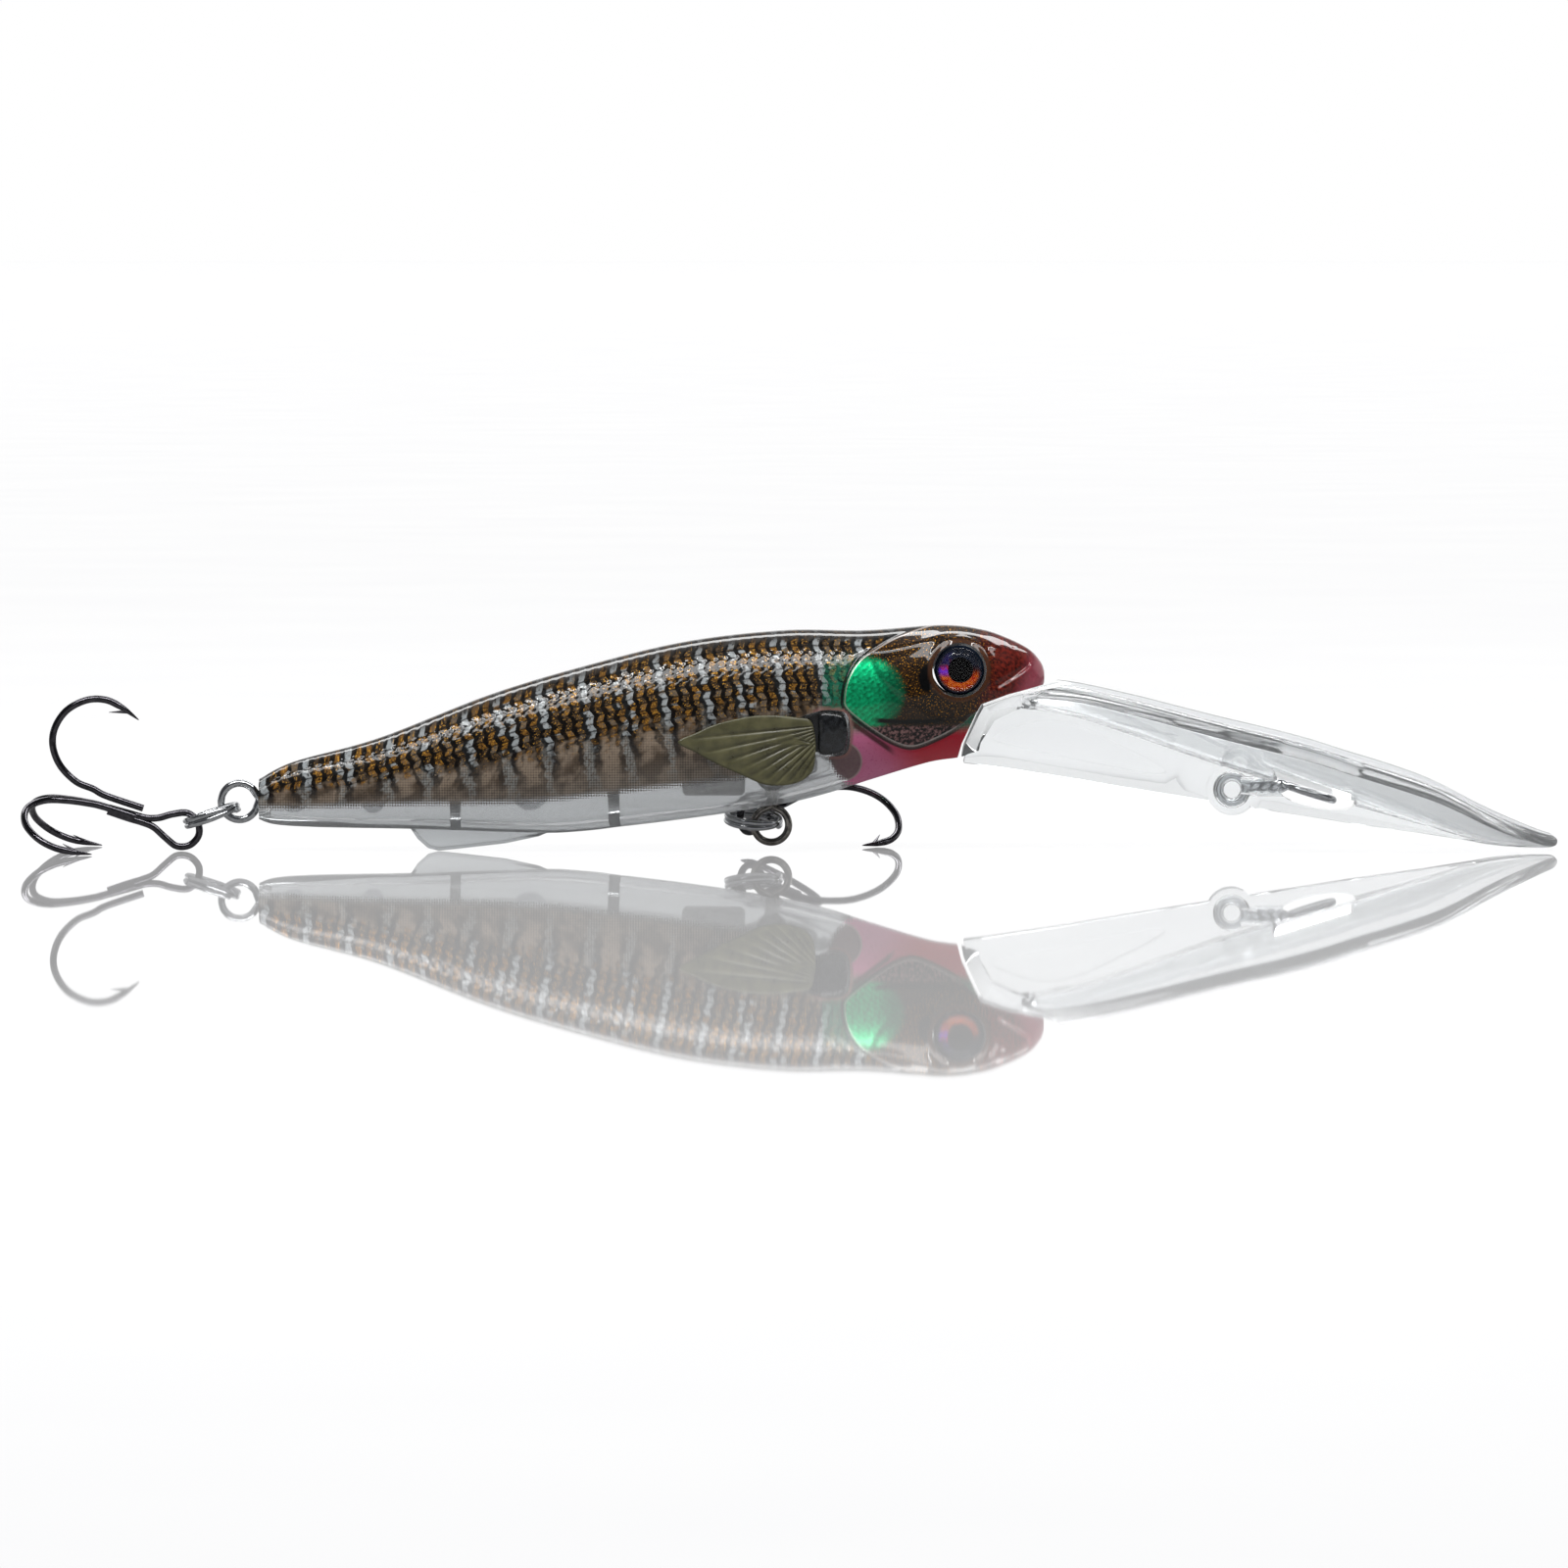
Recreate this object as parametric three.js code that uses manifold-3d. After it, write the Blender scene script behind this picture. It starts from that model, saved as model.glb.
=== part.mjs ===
// Deep-diving crankbait lure, built as an assembly of its separate pieces. Millimetres, +Z up.
// +X runs forward to the tip of the diving bib, and the fish's middle plane is Y = 0, with its
// right side at -Y. The pieces are drawn with X = 0 at the middle of the whole lure and Z = 0 at
// the surface that it lies on. The finished group is moved so that the line tie is the origin.

import * as THREE from 'three';
import { mergeVertices } from 'three/addons/utils/BufferGeometryUtils.js';
import ManifoldModule from 'manifold-3d';

const wasm = await ManifoldModule();
wasm.setup();

// ---------------------------------------------------------------- driving sizes

const WALL = 1.3;                 // wall of the body shells
const SEAM = 0.03;                // half of the glue line between the shells
const FIT = 0.3;                  // clearance round a glued or seated piece
const REACH = 40;                 // longer than any piece is wide, for cutting blocks

const TAIL_X = -60.6;
const NOSE_X = 29.6;
const BACK = [[-60.6, 8.3], [-56.6, 10.3], [-46.9, 13.0], [-34.1, 18.0], [-22.8, 21.4], [-11.6, 24.1],
  [-0.3, 25.4], [9, 25.4], [17.8, 26.0], [22.4, 25.5], [25.4, 24.5], [27.9, 23.2], [29.2, 21.8],
  [29.6, 20.8]];
const BELLY = [[-60.6, 3.7], [-58.7, 3.1], [-53.9, 2.8], [-43.3, 2.6], [-30.4, 2.2], [-24, 2.3],
  [-11.6, 3.7], [-1.7, 5.2], [4.3, 6.6], [10, 8.4], [16.4, 10.3], [20.5, 11.0], [24.5, 12.6], [28, 16.4],
  [29.6, 19.6]];
const SIDE = [[-60.6, 2.3], [-55, 2.9], [-45, 4.2], [-30, 5.5], [-12, 6.3], [5, 6.4], [14, 6.1], [20, 5.5],
  [25, 4.2], [28, 2.7], [29.6, 1.1]];
const JAW_LINE = [[19.6, 10.6], [20.1, 12.5], [21.7, 16.0], [22.3, 17.1], [25.4, 18.2], [28.7, 19.0],
  [31, 19.5]];                    // seat of the bib under the upper jaw
const SECTION_POWER = 2.2;        // 2 would be an ellipse, more is boxier
const BELLY_TAPER = 0.28;         // how much narrower the section is at the keel
const KEEL_FLAT = 0.3;            // depth taken off to leave a flat strip along the keel
const ANAL_FIN_HALF = 0.9;        // half of the moulded fin's thickness

const CHAMBERS = [[-59.2, -38.6], [-37.4, -20.5], [-19.2, 7.4], [8.6, 13.9], [15.1, 18.4]];
const POST_R = 1.9;
const PIN_R = 0.75;
const POSTS = [
  { x: -56.6, z: 6.6, gap: 0.9, postR: 1.3, reach: 0.5 },
  { x: -1.75, z: 9.3, gap: 0.9, postR: POST_R, reach: 1.8 },
  { x: -28, z: 13.6, gap: 0, postR: POST_R, reach: 1.8 },
  { x: 11.2, z: 17, gap: 0, postR: POST_R, reach: 1.8 },
];

const WIRE_R = 0.5;               // hanger and tow wires
const NECK_R = 0.85;              // the wire twisted round itself, between a loop and its anchor
const NECK_ROOM_R = 1.35;         // channel for that neck through a shell
const TOW_NECK_ROOM_R = 1.3;      // the same through the bib
const LOOP_R = 2.1;               // middle of the wire, in a hanger's outer loop
const ANCHOR_R = 1.55;            // middle of the wire, in an anchor ring
const TAIL_LOOP = [-62.9, 0, 5.7];
const TAIL_ANCHOR = [-56.6, 0, 6.6];
const BELLY_LOOP = [-1.75, 0, 3.0];
const BELLY_ANCHOR = [-1.75, 0, 9.3];
const TOW_ANCHOR = [51.2, 0, 7.1];
const LINE_TIE = [60.2, 0, 6.7];
const LINE_TIE_TILT = THREE.MathUtils.degToRad(17.5);

const RING_R = 3.08;              // split ring, to the middle of its coil
const TAIL_RING = { centre: [-66.07, 0, 4.13], normal: [-0.314, 0, 0.949] };
const BELLY_RING = { centre: [-3.8, 1.4, 3.55], normal: [0.092, -0.171, 0.981] };

const HOOK_R = 0.45;              // hook wire
const HOOK_EYE_R = 2.0;
const SHANK_R = 0.62;             // two hook wires brazed side by side
const BARB_R = 0.3;
const POINT_R = 0.04;
const TAIL_TREBLE = { eye: [-69.5, 0, 2.45], yaw: 180, pitch: 18, roll: 0 };
const BELLY_TREBLE = { eye: [-4.1, 4.4, 3.88], yaw: 49.8, pitch: 15.7, roll: 6.2 };

const EYE_CENTRE = [19.8, 21.0];
const EYE_SOCKET_R = 3.1;
const EYE_FLOOR = 4.2;            // distance of the socket's floor from the middle plane
const EYE_DISC_R = 2.85;
const EYE_DISC_FACES = [4.25, 4.55];

const FIN_HINGE = [2.4, 6.9];     // X, and distance from the middle plane
const FIN_FLARE = THREE.MathUtils.degToRad(6);
const FIN_THICK = 0.8;
const FIN_INNER = 6.65;           // distance of its inner face from the middle plane, before the flare
const PLUG_FACES = [4.7, 7.0];    // the same of the root plug's two faces

const BIB_START = 27;
const BIB_TIP = 88.6;
const BIB_RIDGE = [[27, 17.6], [33, 16.6], [39.7, 14.5], [46, 12.3], [52, 10.3], [60, 7.9], [67.3, 5.9],
  [73, 4.3], [79.7, 2.4], [85, 1.75], [88.6, 1.7]];
const BIB_HALF_WIDTH = [[27, 5.6], [33.5, 6.8], [44.8, 9.2], [56, 11.2], [64, 12.1], [70, 12.4], [76, 11.9],
  [81, 10], [85, 7], [87.6, 3.6], [88.6, 1.0]];
const BIB_RISE = [[27, 0.43], [56, 0.43], [66, 0.38], [76, 0.33], [84, 0.2], [88.6, 0.08]];
const BIB_THICK = [[27, 1.8], [70, 1.8], [88.6, 1.3]];
const KEEL_HALF = 1.5;

const BALLAST_R = 2.9;
const BALLAST_LENGTH = 7.2;
const RATTLE_BALL_R = 2.25;
const TAIL_BALL_R = 1.4;

// ---------------------------------------------------------------- shapes and solids

// A height, width or slope that follows smooth points along X.
function along(points) {
  const curve = new THREE.SplineCurve(points.map(([x, z]) => new THREE.Vector2(x, z)));
  const samples = curve.getPoints(points.length * 10);
  return (x) => {
    const next = samples.findIndex((p) => p.x >= x);
    if (next < 0) return samples[samples.length - 1].y;
    if (next === 0) return samples[0].y;
    const a = samples[next - 1];
    const b = samples[next];
    return a.y + (b.y - a.y) * (x - a.x) / (b.x - a.x);
  };
}

const backHeight = along(BACK);
const bellyHeight = along(BELLY);
const sideWidth = along(SIDE);
const ridgeHeight = along(BIB_RIDGE);
const bibHalfWidth = along(BIB_HALF_WIDTH);
const bibRise = along(BIB_RISE);
const bibThick = along(BIB_THICK);

// A closed mesh as a solid that can be joined and cut.
function solidOf(geometry) {
  const bare = geometry.clone();
  bare.deleteAttribute('normal');
  bare.deleteAttribute('uv');
  const merged = mergeVertices(bare, 1e-4);
  const corners = Array.from(merged.index.array);
  const kept = [];
  for (let i = 0; i < corners.length; i += 3) {
    const [a, b, c] = corners.slice(i, i + 3);
    if (a !== b && b !== c && c !== a) kept.push(a, b, c);
  }
  const mesh = new wasm.Mesh({
    numProp: 3,
    vertProperties: Float32Array.from(merged.attributes.position.array),
    triVerts: Uint32Array.from(kept),
  });
  return new wasm.Manifold(mesh);
}

function geometryOf(solid) {
  const { vertProperties, triVerts } = solid.getMesh();
  const geometry = new THREE.BufferGeometry();
  geometry.setAttribute('position', new THREE.BufferAttribute(vertProperties, 3));
  geometry.setIndex(new THREE.BufferAttribute(triVerts, 1));
  geometry.computeVertexNormals();
  return geometry;
}

function join(parts) {
  return parts.reduce((sum, part) => sum.add(part));
}

function cut(body, parts) {
  return parts.reduce((rest, part) => rest.subtract(part), body);
}

// A block between two corners.
function block([x0, y0, z0], [x1, y1, z1]) {
  const geometry = new THREE.BoxGeometry(x1 - x0, y1 - y0, z1 - z0);
  geometry.translate((x0 + x1) / 2, (y0 + y1) / 2, (z0 + z1) / 2);
  return solidOf(geometry);
}

// A round rod across the lure, from one distance from the middle plane to another.
function crossRod(x, z, radius, y0, y1, sides = 16) {
  const geometry = new THREE.CylinderGeometry(radius, radius, Math.abs(y1 - y0), sides);
  geometry.translate(x, (y0 + y1) / 2, z);
  return solidOf(geometry);
}

// A slab with an outline drawn in X and Z, between two distances from the middle plane.
function slab(points, y0, y1) {
  const shape = new THREE.Shape(points.map(([x, z]) => new THREE.Vector2(x, z)));
  const geometry = new THREE.ExtrudeGeometry(shape, { depth: Math.abs(y1 - y0), bevelEnabled: false });
  geometry.rotateX(Math.PI / 2);
  geometry.translate(0, Math.max(y0, y1), 0);
  return solidOf(geometry);
}

// The points of a smooth closed outline through a few given ones.
function smoothLoop(points, steps) {
  const curve = new THREE.CatmullRomCurve3(points.map(([x, z]) => new THREE.Vector3(x, z, 0)), true);
  return curve.getPoints(steps).slice(0, -1).map((p) => [p.x, p.y]);
}

// Round wire along a smooth path.
function wire(points, radius, steps, sides = 8) {
  const section = new THREE.Shape();
  section.absarc(0, 0, radius, 0, 2 * Math.PI);
  const path = new THREE.CatmullRomCurve3(points.map((p) => new THREE.Vector3(...p)));
  const options = { steps, curveSegments: sides / 2, bevelEnabled: false, extrudePath: path };
  return solidOf(new THREE.ExtrudeGeometry(section, options));
}

// A ring of round wire standing in the middle plane.
function standingRing([x, y, z], ringR, wireR, around = 18) {
  const geometry = new THREE.TorusGeometry(ringR, wireR, 7, around);
  geometry.rotateX(Math.PI / 2);
  geometry.translate(x, y, z);
  return solidOf(geometry);
}

// The neck between a loop and its anchor ring, where the wire is twisted round itself.
function neck(from, to) {
  return wire([from, to], NECK_R, 1);
}

// ---------------------------------------------------------------- body shells

// One point of the fish's cross-section, at a distance inside its skin.
function sectionPoint(x, angle, inset) {
  const top = backHeight(x) - inset;
  const bottom = bellyHeight(x) + inset;
  const middle = (top + bottom) / 2;
  const half = (top - bottom) / 2;
  const roundOff = (v) => Math.sign(v) * Math.abs(v) ** (2 / SECTION_POWER);
  const up = roundOff(Math.sin(angle));
  const depth = up < 0 ? half + KEEL_FLAT : half;
  const taper = 1 - BELLY_TAPER * Math.min(up, 0) ** 2;
  const y = (sideWidth(x) - inset) * taper * roundOff(Math.cos(angle));
  return [x, y, Math.max(middle + depth * up, bottom)];
}

// The fish as a cylinder along X whose rings are moved to the cross-sections.
function fishLoft(x0, x1, inset, rings, sides) {
  const geometry = new THREE.CylinderGeometry(1, 1, 1, sides, rings);
  const place = geometry.attributes.position;
  for (let i = 0; i < place.count; i += 1) {
    const [a, b, c] = [place.getX(i), place.getY(i), place.getZ(i)];
    const share = 1 - (0.5 - b) ** 1.4;
    const x = x0 + (x1 - x0) * (b >= 0.5 ? 1 : b <= -0.5 ? 0 : share);
    const rim = sectionPoint(x, Math.atan2(c, -a), inset);
    const middle = [x, 0, (backHeight(x) + bellyHeight(x)) / 2];
    const atRim = Math.hypot(a, c) > 0.5;
    place.setXYZ(i, ...(atRim ? rim : middle));
  }
  return solidOf(geometry);
}

// Everything below the upper jaw's seat, where the bib is glued in.
function seatBlock(gap) {
  const moved = JAW_LINE.map(([x, z]) => [x + gap, z - gap]);
  return slab([[moved[0][0], 5], ...moved, [moved.at(-1)[0], 5]], -REACH, REACH);
}

// Everything above and behind that seat, grown by a gap.
function headBlock(gap) {
  const moved = JAW_LINE.map(([x, z]) => [x + gap, z - gap]);
  return slab([[5, 5], [moved[0][0], 5], ...moved, [moved.at(-1)[0], 35], [5, 35]], -REACH, REACH);
}

function analFin() {
  const outline = [[-43.4, 3.5], [-43.2, 2.6], [-42.4, 1.4], [-41.2, 0.35], [-40, 0.05], [-37.5, 0.3],
    [-32.3, 0.9], [-28.5, 1.7], [-26.4, 2.6], [-26.4, 3.3]];
  return slab(outline, -ANAL_FIN_HALF, ANAL_FIN_HALF);
}

function finPocket(side) {
  return block(...sorted([0.7, side * 4.4, 10.9], [7.3, side * 9, 16.7]));
}

function sorted(a, b) {
  const low = a.map((value, i) => Math.min(value, b[i]));
  const high = a.map((value, i) => Math.max(value, b[i]));
  return [low, high];
}

// The hollow inside the shells: five chambers between bulkheads, less what the fins' pockets need.
function cavity() {
  const room = fishLoft(-59.4, 19, WALL, 14, 14);
  const boxes = CHAMBERS.map(([x0, x1]) => block([x0, -REACH, 0], [x1, REACH, REACH]));
  const pockets = [-1, 1].map((side) => block(...sorted([-0.4, side * 3.3, 9.6], [8.3, side * 9, 17.9])));
  return cut(room.intersect(join(boxes)), pockets);
}

// A locating post, as wide as the fish, with an open gap for a wire at its middle.
function post({ x, z, gap, postR }) {
  const whole = crossRod(x, z, postR, -REACH, REACH, 12);
  return gap > 0 ? whole.subtract(block([x - 3, -gap, z - 3], [x + 3, gap, z + 3])) : whole;
}

// Room for a hanger's twisted neck through the shell's wall.
function neckChannel(from, to) {
  return wire([from, to], NECK_ROOM_R, 1, 10);
}

function shell(side) {
  const fish = fishLoft(TAIL_X, NOSE_X, 0, 28, 22).add(analFin());
  const rods = join(POSTS.map(post));
  const hollow = cavity().subtract(rods);
  const sockets = crossRod(EYE_CENTRE[0], EYE_CENTRE[1], EYE_SOCKET_R, side * EYE_FLOOR, side * 9, 24);
  const channels = [
    neckChannel([-61.5, 0, 5.8], [-58.4, 0, 6.35]),
    neckChannel([-1.75, 0, 4.2], [-1.75, 0, 7.4]),
  ];
  let half = cut(fish, [seatBlock(0), hollow, sockets, finPocket(side), ...channels]);
  half = half.intersect(block(...sorted([-80, side * SEAM, -5], [40, side * REACH, 40])));
  for (const { x, z, gap, reach } of POSTS) {
    if (side > 0) half = half.add(crossRod(x, z, PIN_R, gap + 1, -gap - reach, 10));
    else half = half.subtract(crossRod(x, z, PIN_R + FIT, 1, -gap - reach - FIT, 12));
  }
  return geometryOf(half);
}

// ---------------------------------------------------------------- bib

// Both wings of the bib: a board whose height rises away from its ridge, and thins at the tip.
function bibWings() {
  const geometry = new THREE.BoxGeometry(1, 1, 1, 18, 6, 1);
  const place = geometry.attributes.position;
  for (let i = 0; i < place.count; i += 1) {
    const share = 1 - (0.5 - place.getX(i)) ** 1.35;
    const x = BIB_START + (BIB_TIP - BIB_START) * share;
    const y = 2 * place.getY(i) * bibHalfWidth(x);
    const top = ridgeHeight(x) + Math.abs(y) * bibRise(x);
    place.setXYZ(i, x, y, top + (place.getZ(i) - 0.5) * bibThick(x));
  }
  return solidOf(geometry);
}

function bibKeel() {
  const outline = [[20.3, 10.2], [24, 9.75], [33.5, 8.3], [38, 7.5], [65.1, 3.2], [73, 2.1], [78.6, 1.2],
    [84.2, 0.5], [86, 0.6], [79.7, 1.6], [73, 3.4], [60, 7], [52, 9.4], [39.7, 13.6], [33, 15.8], [27, 17],
    [23.2, 16.4], [22, 15], [20.9, 12.3]];
  return slab(outline, -KEEL_HALF, KEEL_HALF);
}

// The flange that is glued against the upper jaw, as wide as the head is there.
function bibFlange() {
  const outline = [[19.9, 9.8], [20.4, 12.3], [22, 15.7], [22.6, 16.8], [25.5, 17.9], [28.8, 18.7],
    [29.6, 17.4],
    [26, 16.2], [23.9, 15.2], [22.3, 12.6], [21.7, 9.8]];
  return slab(outline, -9, 9).intersect(fishLoft(10, NOSE_X, 0, 14, 20));
}

function towWindow() {
  const outline = smoothLoop([[56.3, 8.4], [57.2, 6.3], [59.6, 5.3], [62.6, 4.75], [65.0, 5.0], [65.4, 6.4],
    [64.4, 8.8], [61.6, 10.6], [58.0, 11.8], [56.4, 11.0]], 26);
  return slab(outline, -3.3, 3.3);
}

function bib() {
  const wings = bibWings().subtract(headBlock(FIT));
  const keel = bibKeel().intersect(seatBlock(FIT).add(block([30, -REACH, -5], [95, REACH, 30])));
  const ringBoss = crossRod(TOW_ANCHOR[0], TOW_ANCHOR[2], 2.9, -1.8, 1.8, 20);
  const neckBoss = wire([[52.6, 0, 7.5], [57.2, 0, 7.5]], 1.9, 1, 12);
  const anchorRoom = standingRing(TOW_ANCHOR, ANCHOR_R, WIRE_R + FIT, 24);
  const neckRoom = wire([[52.2, 0, 7.5], [58.5, 0, 7.5]], TOW_NECK_ROOM_R, 1, 10);
  const body = join([wings, keel, bibFlange().subtract(headBlock(FIT)), ringBoss, neckBoss]);
  return geometryOf(cut(body, [towWindow(), anchorRoom, neckRoom]));
}

// ---------------------------------------------------------------- wires and rings

function towWire() {
  const loop = new THREE.TorusGeometry(2.3, WIRE_R, 7, 20);
  loop.scale(1.2, 0.85, 1);
  loop.rotateY(LINE_TIE_TILT);
  loop.translate(...LINE_TIE);
  const anchor = standingRing(TOW_ANCHOR, ANCHOR_R, WIRE_R);
  return geometryOf(join([anchor, neck([52.7, 0, 7.5], [57.6, 0, 7.5]), solidOf(loop)]));
}

function bellyHanger() {
  const loop = standingRing(BELLY_LOOP, LOOP_R - 0.1, WIRE_R);
  const anchor = standingRing(BELLY_ANCHOR, ANCHOR_R, WIRE_R);
  return geometryOf(join([loop, neck([-1.75, 0, 4.95], [-1.75, 0, 7.8]), anchor]));
}

function tailHanger() {
  const loop = standingRing(TAIL_LOOP, LOOP_R, WIRE_R);
  const anchor = standingRing(TAIL_ANCHOR, ANCHOR_R, WIRE_R);
  return geometryOf(join([loop, neck([-60.9, 0, 5.9], [-58.1, 0, 6.4]), anchor]));
}

// A split ring: two turns of flattened wire lie against each other, so its section is taller than wide.
function splitRing() {
  const section = [[0.33, -0.35], [0.33, 0.35], [0.16, 0.62], [-0.16, 0.62], [-0.33, 0.35], [-0.33, -0.35],
    [-0.16, -0.62], [0.16, -0.62], [0.33, -0.35]];
  const profile = section.map(([r, h]) => new THREE.Vector2(RING_R + r, h));
  const geometry = new THREE.LatheGeometry(profile, 24);
  geometry.rotateX(Math.PI / 2);
  return geometryOf(solidOf(geometry));
}

// ---------------------------------------------------------------- treble hooks

// One hook of a treble. X runs from the eye along the shank, and the hook opens at an angle round it.
function hook(angle, rootX, rootR) {
  const path = [[rootX, rootR], [9.5, rootR + 0.05], [11.2, rootR + 0.35], [13.3, 1.5],
    [15.6, 2.7], [17.1, 4.6], [17.5, 6.7], [16.8, 9.0], [15.0, 10.8], [12.9, 11.5], [10.9, 11.25]];
  const at = ([x, r]) => [x, -r * Math.sin(angle), r * Math.cos(angle)];
  const body = wire(path.map(at), HOOK_R, 19, 6);
  const point = taper(at([11.1, 11.3]), at([8.6, 10.45]), HOOK_R, POINT_R);
  const barb = taper(at([10.5, 11.15]), at([12.1, 10.2]), BARB_R, POINT_R);
  return join([body, point, barb]);
}

// A straight taper between two points.
function taper(from, to, fromR, toR) {
  const start = new THREE.Vector3(...from);
  const end = new THREE.Vector3(...to);
  const geometry = new THREE.CylinderGeometry(toR, fromR, start.distanceTo(end), 8);
  const heading = end.clone().sub(start).normalize();
  geometry.applyQuaternion(new THREE.Quaternion().setFromUnitVectors(new THREE.Vector3(0, 1, 0), heading));
  geometry.translate(...start.clone().lerp(end, 0.5).toArray());
  return solidOf(geometry);
}

// The double hook is one wire: two hooks, and the eye bent between them.
function doubleHook() {
  const third = 2 * Math.PI / 3;
  const eye = [[4.6, 0, -0.3], [3.0, 0, -0.55], [1.6, 0, -1.35], [0, 0, -HOOK_EYE_R], [-1.4, 0, -1.4],
    [-2.0, 0, 0],
    [-1.4, 0, 1.4], [0, 0, HOOK_EYE_R], [1.6, 0, 1.35], [2.9, 0, 0.5], [4.0, 0, -0.1]];
  const shank = wire([[3.4, 0, -0.4], [9.6, 0, -0.4]], SHANK_R, 1);
  const hooks = [third, -third].map((angle) => hook(angle, 7.5, 0.45));
  return geometryOf(join([wire(eye, HOOK_R, 24, 6), shank, ...hooks]));
}

function singleHook() {
  return geometryOf(hook(0, 5.0, 0.95));
}

// ---------------------------------------------------------------- eyes, fins, plugs, weights

function eyeDisc(side) {
  const [back, front] = EYE_DISC_FACES.map((y) => side * y);
  return geometryOf(crossRod(...EYE_CENTRE, EYE_DISC_R, back, front, 24));
}

function eyeDome(side) {
  const profile = [[0, 4.6], [2.6, 4.6], [2.6, 4.95], [2.35, 5.4], [1.7, 5.85], [0.9, 6.08], [0, 6.15]];
  const geometry = new THREE.LatheGeometry(profile.map(([r, h]) => new THREE.Vector2(r, h)), 24);
  if (side < 0) geometry.rotateZ(Math.PI);
  geometry.translate(EYE_CENTRE[0], 0, EYE_CENTRE[1]);
  return geometryOf(solidOf(geometry));
}

// A soft side fin, drawn flat along the fish and then flared about its root.
function fin(side) {
  const [hingeX, hingeY] = FIN_HINGE;
  const outline = smoothLoop([[-12.5, 12.9], [-10.4, 11.7], [-8, 10.4], [-5.1, 9.1], [-2.9, 8.15],
    [-0.8, 7.9],
    [1.4, 8.3], [2.9, 9.5], [3.3, 11.6], [3.2, 14.0], [2.6, 15.4], [1.0, 15.7], [-1.5, 15.95], [-4.4, 15.8],
    [-8, 15.0], [-10.6, 13.9]], 40);
  const blade = slab(outline, side * FIN_INNER, side * (FIN_INNER + FIN_THICK));
  const peg = block(...sorted([1.7, side * 5.75, 12.0], [3.1, side * 6.9, 15.0]));
  const geometry = geometryOf(blade.add(peg));
  geometry.translate(-hingeX, -side * hingeY, 0);
  geometry.rotateZ(-side * FIN_FLARE);
  geometry.translate(hingeX, side * hingeY, 0);
  return geometry;
}

function finPlug(side) {
  const outline = smoothLoop([[3.75, 11.6], [5.2, 11.4], [6.6, 11.9], [7.0, 13.8], [6.6, 15.7], [5.2, 16.2],
    [3.75, 16.0], [3.65, 13.8]], 20);
  return geometryOf(slab(outline, side * PLUG_FACES[0], side * PLUG_FACES[1]));
}

function ballastSlug() {
  const geometry = new THREE.CylinderGeometry(BALLAST_R, BALLAST_R, BALLAST_LENGTH, 20);
  geometry.rotateZ(Math.PI / 2);
  return geometry;
}

// ---------------------------------------------------------------- the assembly

const clearPlastic = { color: 0xd9dcd8, roughness: 0.1, metalness: 0 };
const printedPlastic = { color: 0x5b4a33, roughness: 0.25, metalness: 0.1 };
const steel = { color: 0xb9bcc0, roughness: 0.25, metalness: 1 };
const blackNickel = { color: 0x35353a, roughness: 0.2, metalness: 1 };
const softFin = { color: 0x8a8970, roughness: 0.5, metalness: 0 };
const blackRubber = { color: 0x18181a, roughness: 0.4, metalness: 0 };
const foil = { color: 0xa03a20, roughness: 0.3, metalness: 0.6 };
const lead = { color: 0x6b6b6e, roughness: 0.5, metalness: 0.8 };

const lure = new THREE.Group();
lure.position.set(-LINE_TIE[0], -LINE_TIE[1], -LINE_TIE[2]);

function add(name, geometry, finish, parent = lure, place = [0, 0, 0]) {
  const mesh = new THREE.Mesh(geometry, new THREE.MeshStandardMaterial(finish));
  mesh.name = name;
  mesh.position.set(...place);
  parent.add(mesh);
  return mesh;
}

function addRing(name, { centre, normal }) {
  const mesh = add(name, splitRing(), steel, lure, centre);
  mesh.quaternion.setFromUnitVectors(new THREE.Vector3(0, 0, 1), new THREE.Vector3(...normal).normalize());
}

function addTreble(name, { eye, yaw, pitch, roll }) {
  const treble = new THREE.Group();
  const [rollAngle, pitchAngle, yawAngle] = [roll, -pitch, yaw].map(THREE.MathUtils.degToRad);
  treble.position.set(...eye);
  treble.rotation.set(rollAngle, pitchAngle, yawAngle, 'ZYX');
  add(`${name}_double`, doubleHook(), blackNickel, treble);
  add(`${name}_single`, singleHook(), blackNickel, treble);
  lure.add(treble);
}

for (const [word, side] of [['right', -1], ['left', 1]]) {
  add(`shell_${word}`, shell(side), printedPlastic);
  add(`eye_disc_${word}`, eyeDisc(side), foil);
  add(`eye_dome_${word}`, eyeDome(side), clearPlastic);
  add(`fin_${word}`, fin(side), softFin);
  add(`fin_plug_${word}`, finPlug(side), blackRubber);
}
add('bib', bib(), clearPlastic);
add('tow_wire', towWire(), steel);
add('belly_hanger_wire', bellyHanger(), steel);
add('tail_hanger_wire', tailHanger(), steel);
addRing('belly_split_ring', BELLY_RING);
addRing('tail_split_ring', TAIL_RING);
addTreble('belly_treble', BELLY_TREBLE);
addTreble('tail_treble', TAIL_TREBLE);
add('ballast_slug', ballastSlug(), lead, lure, [-8.4, 0, 9.5]);
add('rattle_ball_main', new THREE.SphereGeometry(RATTLE_BALL_R, 14, 10), steel, lure, [-29.5, 0, 7.15]);
add('rattle_ball_tail', new THREE.SphereGeometry(TAIL_BALL_R, 12, 8), steel, lure, [-47.5, 0, 5.95]);

export default lure;
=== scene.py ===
import math

import bmesh
import bpy
import numpy as np
from mathutils import Matrix, Vector


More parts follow.
